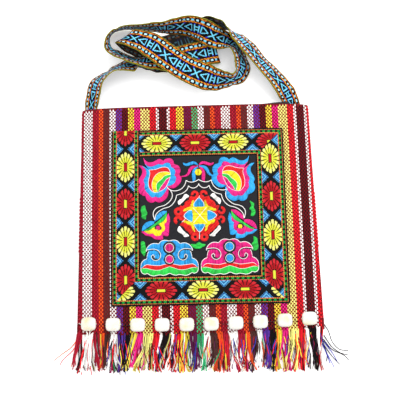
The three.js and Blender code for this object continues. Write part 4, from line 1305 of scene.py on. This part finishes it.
class BAG_OT_embroidery(bpy.types.Operator):
    """Stitch the embroidered panel"""
    bl_idname = "bag.embroidery"
    bl_label = "Embroidered panel"

    def execute(self, context):
        self.settings = context.scene.bag_floss
        self.chance = np.random.default_rng(11)
        self.stitches = []
        self.outlines = []
        panel = self.ground()
        for side in ("left", "right"):
            self.peach(side)
            self.scallops(side)
            self.bow(side)
            self.butterfly(side)
            self.cloud(side)
        self.disc(BOW["ball"]["x"], BOW["ball"]["y"], BOW["ball"]["radius"], "yellow")
        self.rosette()
        for leaf in LEAVES:
            self.fill(leaf, "green", 20)
        floss = silky_floss("Rayon satin floss", 0.42)
        cord = silky_floss("White couched cord", 0.6)
        for name, lines, sides, finish in (("satin_stitches", self.stitches, 5, floss),
                                           ("couched_outlines", self.outlines, 6, cord)):
            show(name, threads(name, lines, sides, finish), finish, "black_cloth")
        return {"FINISHED"}

    def ground(self):
        """Black cloth under the stitches."""
        marks = np.linspace(-0.5, 0.5, PANEL_GRID)
        a, b = np.meshgrid(marks * PATCH["wide"], marks * PATCH["tall"], indexing="ij")
        flat = np.stack([a, b], -1).reshape(-1, 2)
        over = patch_point(flat, PATCH["thick"]).reshape(PANEL_GRID, PANEL_GRID, 3)
        under = patch_point(flat, 0.0).reshape(PANEL_GRID, PANEL_GRID, 3)
        mesh = sheet_mesh("embroidered_panel", over, under)
        # Threads of 0.5 mm are drawn at 1.1 mm, the finest that shows in the picture.
        cotton = plain_weave_cotton("Black cotton ground", tuple(self.settings.ground), 1.1)
        return show("panel_cloth", mesh, cotton, "black_cloth", "embroidered_panel")

    def tones(self, count):
        """Shades of neighbouring stitches: a few pull together and catch the light alike."""
        coarse = self.chance.standard_normal(count // 3 + 2)
        drift = np.interp(np.arange(count) / 3, np.arange(len(coarse)), coarse)
        return np.clip(1 + 0.13 * drift + 0.15 * self.chance.standard_normal(count), 0.45, 1.35)

    def stitch(self, start, end, colour, layer, tone):
        """One satin stitch, arched over the ground. A paler one stands a little higher."""
        length = math.dist(start, end)
        if length < STITCH["shortest"]:
            return
        part = np.array([[0], [0.28], [0.72], [1]])
        flat = np.asarray(start) * (1 - part) + np.asarray(end) * part
        base = PATCH["thick"] + STITCH["lift"] + STITCH["layer"] * layer
        arch = STITCH["arch"] + min(STITCH["arch_most"], STITCH["arch_grows"] * length)
        rise = arch * (0.7 + 0.3 * tone)
        dye = np.clip(np.array(getattr(self.settings, colour)) * tone, 0, 1)
        points = patch_point(flat, base + rise * np.array([0, 1, 1, 0]))
        self.stitches.append({"points": points, "colour": dye, "thick": self.settings.floss / MM})

    def satin(self, rail, other, colour, layer=1):
        """Satin band: stitches side by side between two rails."""
        first, second = smooth_line(rail, 0.4), smooth_line(other, 0.4)
        count = int(max(line_length(first), line_length(second)) / (self.settings.spacing / MM)) + 1
        for start, end, tone in zip(resample(first, count), resample(second, count), self.tones(count)):
            self.stitch(start, end, colour, layer, tone)

    def fill(self, outline, colour, angle, layer=1, rounded=True, holes=()):
        """Filled shape: rows of stitches at an angle, cut at the outline and the holes."""
        turn = math.radians(angle)
        spin = np.array([[math.cos(turn), -math.sin(turn)], [math.sin(turn), math.cos(turn)]])
        loops = []
        for loop in (outline, *holes):
            line = smooth_line(loop, 0.5, closed=True) if rounded else np.vstack([loop, loop[:1]])
            loops.append(np.asarray(line, dtype=float) @ spin)
        heights = np.vstack(loops)[:, 1]
        levels = np.arange(heights.min() + 0.2, heights.max(), self.settings.spacing / MM)
        for level, tone in zip(levels, self.tones(len(levels))):
            cuts = []
            for line in loops:
                low, high = line[:-1], line[1:]
                crossing = (low[:, 1] > level) != (high[:, 1] > level)
                low, high = low[crossing], high[crossing]
                part = (level - low[:, 1]) / (high[:, 1] - low[:, 1])
                cuts += list(low[:, 0] + (high[:, 0] - low[:, 0]) * part)
            cuts.sort()
            for left, right in zip(cuts[::2], cuts[1::2]):
                pieces = max(1, math.ceil((right - left) / STITCH["longest"]))
                shift = self.chance.uniform(-0.2, 0.2, pieces + 1) * (right - left) / pieces
                shift[0] = shift[-1] = 0
                marks = np.linspace(left, right, pieces + 1) + shift
                for start, end in zip(marks[:-1], marks[1:]):
                    ends = np.array([(start, level), (end, level)]) @ spin.T
                    self.stitch(ends[0], ends[1], colour, layer, tone * self.chance.uniform(0.85, 1.1))

    def disc(self, x, y, radius, colour, layer=2):
        """Round spot of upright stitches."""
        angles = np.linspace(0, 2 * math.pi, 24, endpoint=False)
        rim = np.stack([x + radius * np.cos(angles), y + radius * np.sin(angles)], -1)
        self.fill(rim, colour, 90, layer)

    def circle(self, x, y, radius, start=0, end=360):
        """Points round a circle or a part of one, between two angles in degrees."""
        angles = np.radians(np.linspace(start, end, 25))
        return np.stack([x + radius * np.cos(angles), y + radius * np.sin(angles)], -1)

    def line(self, points, thick, colour="white", layer=2, rounded=True):
        """Couched cord along a line."""
        line = smooth_line(points, 1.0) if rounded else np.asarray(points, dtype=float)
        height = PATCH["thick"] + CORD["lift"] + STITCH["layer"] * layer
        dye = np.array(getattr(self.settings, colour))
        self.outlines.append({"points": patch_point(line, height), "colour": dye, "thick": thick})

    def mirror(self, points, side, motif):
        """The left motif's points, or the same turned over for the right side."""
        shift = MIRROR_SHIFT[motif]
        return [(x, y) if side == "left" else (-x + shift, y) for x, y in points]

    def both(self, points, middle):
        """A cloud's line on both sides of its middle, from its left end to its right."""
        return [(middle - x, y) for x, y in points[::-1]] + [(middle + x, y) for x, y in points[1:]]

    def peach(self, side):
        rails = {name: self.mirror(points, side, "peach") for name, points in PEACH.items()}
        rim, skin = ("pink", "blue") if side == "left" else ("blue", "pink")
        for half in ("upper", "lower"):
            self.satin(rails[f"outer_{half}"], rails[f"middle_{half}"], rim)
            self.satin(rails[f"middle_{half}"], rails[f"inner_{half}"], skin, 1.4)
        self.satin(rails["heart"], rails["rind"], "red", 1.2)
        self.satin(rails["rind"], rails["flesh"], "yellow", 1.2)
        self.satin(rails["flesh"], rails["pith"], "green", 1.2)
        self.satin(rails["pith"], rails["stone"], "pink", 1.2)
        for name in ("inner_upper", "inner_lower"):
            self.line(rails[name], CORD["inner"])
        for name in ("rind", "flesh", "pith"):
            self.line(rails[name], CORD["finest"])

    def scallops(self, side):
        self.line(self.mirror(STEM, side, "scallops"), CORD["stem"])
        for arc in SCALLOPS:
            self.line(self.mirror(arc, side, "scallops"), CORD["scallop"])

    def bow(self, side):
        first, second = ("blue", "pink") if side == "left" else ("pink", "blue")
        for name, colour in (("streamer", first), ("tail", second), ("loop", first)):
            upper, lower = (self.mirror(rail, side, "bow") for rail in BOW[name])
            self.satin(upper, lower, colour)

    def butterfly(self, side):
        wing, lobes, edge, eye = (("blue", "yellow", "pink", "pink") if side == "left"
                                  else ("pink", "pink", "blue", "yellow"))
        for name, colour in (("wing", wing), ("lower_wing", wing), ("stripe", "green")):
            upper, lower = (self.mirror(rail, side, "butterfly") for rail in BUTTERFLY[name])
            self.satin(upper, lower, colour, 1.3)
        rails = {name: self.mirror(BUTTERFLY[name], side, "butterfly")
                 for name in ("edge", "lobes", "belly")}
        self.satin(rails["edge"], rails["lobes"], edge, 0.8)
        self.satin(rails["lobes"], rails["belly"], lobes, 1.1)
        spot = BUTTERFLY["eye"]
        x, y = self.mirror([(spot["x"], spot["y"])], side, "butterfly")[0]
        self.disc(x, y, spot["ring"], "dark", 2.4)
        self.disc(x, y, spot["radius"], eye, 3)

    def cloud(self, side):
        middle = CLOUD_MIDDLES[side]
        body, button = ("blue", "pink") if side == "left" else ("pink", "blue")
        upper = self.both(CLOUD["outline"], middle)
        foot = self.both(CLOUD["base"][::-1], middle)
        band_top = self.both(CLOUD["band_top"][::-1], middle)
        band_foot = self.both(CLOUD["band_foot"][::-1], middle)
        holes = [self.circle(middle, disc["y"], disc["hole"])[:-1] for disc in CLOUD["discs"]]
        self.fill(upper + band_top[::-1], body, 90, 1, holes=holes)
        self.satin(band_top, band_foot, "red", 1.2)
        self.satin(band_foot, foot, "green", 1.2)
        self.line(upper, CORD["cloud"])
        self.line(foot, CORD["cloud"])
        self.line(band_top, CORD["fine"])
        self.line(band_foot, CORD["finest"])
        for way in (-1, 1):
            spiral, comma = (np.array([(middle + way * x, y) for x, y in CLOUD[name]])
                             for name in ("spiral", "comma"))
            self.line(spiral, CORD["spiral"], "dark", layer=3)
            self.line(comma, CORD["shadow"], "dark", layer=4)
            wider = spiral + 0.1 * (spiral - spiral[4:].mean(0))
            self.line(wider, CORD["inner"], layer=5)
        for disc in CLOUD["discs"]:
            self.line(self.circle(middle, disc["y"], disc["ring"] + 1.1), CORD["shadow"], "dark")
            self.disc(middle, disc["y"], disc["radius"], button)
            self.line(self.circle(middle, disc["y"], disc["ring"]), CORD["disc"])
        self.line([(middle, y) for y in CLOUD["link"]], CORD["link"])

    def rosette(self):
        self.fill(ROSETTE["ring"], "red", 45, 0.4, rounded=False, holes=(ROSETTE["window"],))
        for curl in ROSETTE["curls"]:
            outer, inner = (self.circle(curl["x"], curl["y"], radius, curl["start"], curl["end"])
                            for radius in (curl["radius"], CURL_HOLE))
            self.satin(outer, inner, "red", 0.8)
        for leaf in ROSETTE["leaves"]:
            self.fill(leaf, "yellow", 30, 1.6)
        self.fill(ROSETTE["square"], "yellow", 0, 1.8, rounded=False)
        for petal in ROSETTE["petals"]:
            self.fill(petal, "blue", 90, 2.4)
            self.line(petal, CORD["fine"], layer=4)
        for bar in ROSETTE["bars"]:
            self.fill(bar, "white", 45, 1.4)
        for thread in ROSETTE["threads"]:
            self.line(thread, CORD["fine"], layer=5, rounded=False)


class BAG_OT_beads(bpy.types.Operator):
    """String the beads along the bottom seam"""
    bl_idname = "bag.beads"
    bl_label = "Beads"

    def execute(self, context):
        settings = context.scene.bag_bead
        resin = polished_resin("Polished white resin", tuple(settings.white), tuple(settings.cream))
        cotton = silky_floss("White bead thread", 0.7)
        places = []
        for name in sorted(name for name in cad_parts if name.startswith("bead_")):
            low, high = (np.array(corner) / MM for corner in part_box(name))
            middle, half = (low + high) / 2, (high - low) / 2
            places.append(middle)
            show(f"{name}_resin", self.bead(settings, name, middle, half), resin, "bead_resin", name)
        places.sort(key=lambda place: place[0])
        out = half[0] + BEAD_THREAD["past"]
        drop = BEAD_THREAD["drop"]
        runs = []
        for x, y, z in places:
            runs.append([(x - out, y, z - drop), (x - out, y, z), (x + out, y, z), (x + out, y, z - drop)])
        x, y, _ = places[0]
        tail = np.linspace(x - half[0], BEAD_THREAD["from_side"] - half_width_at(y), 6)
        climb = BEAD_THREAD["climb"] * np.linspace(0, 1, 6)
        level = front_top(tail, np.full(6, y + BEAD_THREAD["climb"])) + BEAD_THREAD["lift"]
        runs.append(np.stack([tail, y + climb, np.maximum(level, BEAD_THREAD["lowest"])], -1))
        lines = [{"points": np.array(run, dtype=float), "colour": np.array(settings.thread),
                  "thick": BEAD_THREAD["thick"]} for run in runs]
        show("bead_thread", threads("bead_thread", lines, 6, cotton), cotton, "bead_resin")
        return {"FINISHED"}

    def bead(self, settings, name, middle, half):
        """Pillow-shaped bead, its hole along X, as one closed skin."""
        power = settings.squareness
        around = np.linspace(0, 2 * math.pi, BEAD["around"], endpoint=False)
        rings = []
        for angle in np.linspace(-BEAD["stop"], BEAD["stop"], BEAD["rings"]) * math.pi / 2:
            scale = math.cos(angle) ** power
            rings.append(np.stack([np.full(BEAD["around"], half[0] * self.squared(np.sin(angle), power)),
                                   half[1] * scale * self.squared(np.cos(around), power),
                                   half[2] * scale * self.squared(np.sin(around), BEAD["top"])], -1))
        mouth = settings.hole / MM / 2
        for share in BEAD["hole"]:
            wide = mouth * (BEAD["flare"] if abs(share) > 0.9 else 1)
            rings.append(np.stack([np.full(BEAD["around"], share * half[0]), wide * np.cos(around),
                                   wide * np.sin(around)], -1))
        skin = np.array(rings)
        index = np.arange(skin.shape[0] * BEAD["around"]).reshape(-1, BEAD["around"])
        index = np.vstack([index, index[:1]])
        index = np.hstack([index, index[:, :1]])
        corners = (index[1:, :-1], index[1:, 1:], index[:-1, 1:], index[:-1, :-1])
        faces = np.stack(corners, -1).reshape(-1, 4)
        mesh = bpy.data.meshes.new(name)
        mesh.from_pydata(((skin.reshape(-1, 3) + middle) * MM).tolist(), [], faces.tolist())
        mesh.shade_smooth()
        return mesh

    def squared(self, value, power):
        """Sine or cosine swollen towards a square."""
        return np.sign(value) * np.abs(value) ** power


class BAG_OT_fringe(bpy.types.Operator):
    """Hang the fringe of warp yarns below the beads"""
    bl_idname = "bag.fringe"
    bl_label = "Fringe"

    def execute(self, context):
        settings = context.scene.bag_yarn
        cotton = handspun_cotton("Loose cotton yarn", 0.9, 0.03, 1.4, 0.14)
        self.chance = np.random.default_rng(5)
        lines = self.yarns(settings) + self.loose(settings)
        for colour, points in STRAYS:
            flat = smooth_line(points, 2.5)
            lift = 1.0 + 1.6 * np.sin(np.linspace(0, math.pi, len(flat)))
            dye = np.array(getattr(settings, colour))
            lines.append({"points": np.column_stack([flat, lift]), "colour": dye,
                          "thick": np.linspace(1.1, 0.8, len(flat))})
        yarns = show("fringe_yarns", threads("fringe_yarns", lines, 6, cotton), cotton, "fringe_yarn")
        hem = show("fringe_hem", self.hem(settings), cotton, "fringe_yarn", "fringe")
        return {"FINISHED"}

    def hem(self, settings):
        """Woven strip below the beads, from which the warp hangs out."""
        columns, rows = HEM_GRID
        u, v = np.meshgrid(np.linspace(-0.5, 0.5, columns), np.linspace(0, 1, rows), indexing="ij")
        x = u * CLOTH["seam"]
        y = seam_at(x) - HEM["depth"] + v * (HEM["depth"] - CLOTH["gap"])
        over = np.stack([x, y, np.full_like(x, HEM["thick"])], -1)
        mesh = sheet_mesh("fringe_hem", over, over * (1, 1, 0))
        paint(mesh, np.tile(settings.weft, (len(mesh.polygons), 1)), "CORNER")
        return mesh

    def yarns(self, settings):
        """Front and back warp yarns. Each stripe's lock parts into strands that wander and cross."""
        pitch = settings.warp_pitch / MM
        count = int((CLOTH["seam"] - 2) / pitch)
        roots = (np.arange(count) - (count - 1) / 2) * pitch
        names, stripe = stripe_colours(roots, pitch)
        lines = []
        for layer in (0, 1):
            for number in range(stripe.max() + 1):
                mine = np.flatnonzero(stripe == number)
                lean = LOCK_LEANS[number] * layer + self.chance.normal(0, 3 - 2 * layer)
                lock = self.wander(lean, FRINGE["lock_swing"])
                strands = max(1, round(len(mine) * pitch / FRINGE["strand_wide"]))
                for part in np.array_split(mine, strands):
                    lean = self.chance.normal(0, FRINGE["strand_lean"])
                    run = lock + self.wander(lean, FRINGE["strand_swing"])
                    lines += self.strand(settings, roots, names, part, run, layer)
        return lines

    def wander(self, lean, swing):
        """Sideways run of a lock or strand over its length: a lean with a slow wave that grows."""
        s = YARN_REACH
        wave = np.sin(self.chance.uniform(3, 6.5) * s + self.chance.uniform(0, 6.28))
        return lean * s ** 1.3 + swing * self.chance.uniform(0.3, 1.2) * s * wave

    def strand(self, settings, roots, names, part, run, layer):
        """Yarns of one strand, drawn together half way down and loose at their tips."""
        chance = self.chance
        s = YARN_REACH
        middle = roots[part].mean()
        tip = TIP_Y + max(0.3, 0.7 - 0.031 * middle + chance.uniform(0, 8))
        pinch = 1 - chance.uniform(0.35, 0.7) * np.sin(2.2 * s)
        rise = chance.uniform(0, 1.2) if layer or chance.random() > 0.3 else 2.6
        thick = FRINGE["loft"] * settings.yarn_width / MM
        shadow = FRINGE["under_shade"] if layer == 0 else 1
        lines = []
        for k in np.repeat(part, 2):
            name = names[k] if chance.random() > 0.4 - 0.35 * layer else names[chance.integers(len(names))]
            offset = roots[k] - middle + chance.normal(0, 0.5)
            waves = s * chance.uniform(1, 2.4) + chance.random()
            ripple = chance.uniform(0.3, 0.9) * s * np.sin(2 * math.pi * waves)
            foot = seam_at(roots[k]) - HEM["depth"] + chance.uniform(0.5, 4)
            x = middle + run + offset * pinch + ripple + chance.normal(0, 1.3) * s ** 3
            y = foot + (tip + abs(chance.normal(0, 2.2)) - foot) * s
            base = 0.8 + layer * (HEM["thick"] - 0.9) * (1 - 0.55 * s)
            z = np.maximum(base + rise * np.sin(2.4 * s) * s + chance.uniform(0, 0.9), thick / 2)
            tone = shadow * chance.uniform(0.9 if name == "white" else 0.5, 1)
            dye = np.clip(np.array(getattr(settings, name)) * tone, 0, 1)
            lines.append({"points": np.stack([x, y, z], -1), "colour": dye,
                          "thick": thick * (1 - 0.15 * s ** 3)})
        return lines

    def loose(self, settings):
        """Thin single plies that have come out of the locks and curl across them."""
        chance = self.chance
        names = ("black", "red", "indigo", "black", "orange", "yellow", "plum", "maroon", "brown", "black")
        s = np.linspace(0, 1, 16)
        lines = []
        for _ in range(FRINGE["plies"]):
            root = chance.uniform(-0.49, 0.49) * CLOTH["seam"]
            top, tip = chance.uniform(-116, -108), TIP_Y + chance.uniform(2, 14)
            swing = chance.uniform(0.6, 2.4)
            waves = s * chance.uniform(0.7, 1.9) + chance.random()
            x = root + chance.normal(-1.5, 5) * s + swing * np.sin(2 * math.pi * waves) * s
            z = 2.6 + chance.uniform(0.6, 1.6) * np.sin(math.pi * s) - 0.9 * s
            lines.append({"points": np.stack([x, top + (tip - top) * s, z], -1), "thick": 0.9,
                          "colour": np.array(getattr(settings, names[chance.integers(len(names))]))})
        return lines


CLASSES = (BagYarnSettings, BagFlossSettings, BagRibbonSettings, BagStrapSettings, BagBeadSettings,
           BagStageSettings, BAG_OT_stage, BAG_OT_strap, BAG_OT_cloth, BAG_OT_facing, BAG_OT_embroidery,
           BAG_OT_ribbon, BAG_OT_beads, BAG_OT_fringe)
SETTINGS = {"bag_yarn": BagYarnSettings, "bag_floss": BagFlossSettings, "bag_ribbon": BagRibbonSettings,
            "bag_strap": BagStrapSettings, "bag_bead": BagBeadSettings, "bag_stage": BagStageSettings}
OPERATORS = tuple(kind for kind in CLASSES if issubclass(kind, bpy.types.Operator))


class BAG_PT_sidebar(bpy.types.Panel):
    """Sidebar panel that lists the bag's pieces"""
    bl_idname = "BAG_PT_sidebar"
    bl_label = "Embroidered Shoulder Bag"
    bl_space_type = "VIEW_3D"
    bl_region_type = "UI"
    bl_category = "Bag"

    def draw(self, context):
        for operator in OPERATORS:
            self.layout.operator(operator.bl_idname, text=operator.bl_label)


def register():
    for kind in (*CLASSES, BAG_PT_sidebar):
        bpy.utils.register_class(kind)
    for name, kind in SETTINGS.items():
        setattr(bpy.types.Scene, name, PointerProperty(type=kind))


def unregister():
    for name in SETTINGS:
        delattr(bpy.types.Scene, name)
    for kind in reversed((*CLASSES, BAG_PT_sidebar)):
        bpy.utils.unregister_class(kind)


def main():
    register()
    bpy.ops.bag.stage()
    bpy.ops.bag.strap()
    bpy.ops.bag.cloth()
    bpy.ops.bag.facing()
    bpy.ops.bag.embroidery()
    bpy.ops.bag.ribbon()
    bpy.ops.bag.beads()
    bpy.ops.bag.fringe()


if __name__ == "__main__":
    main()
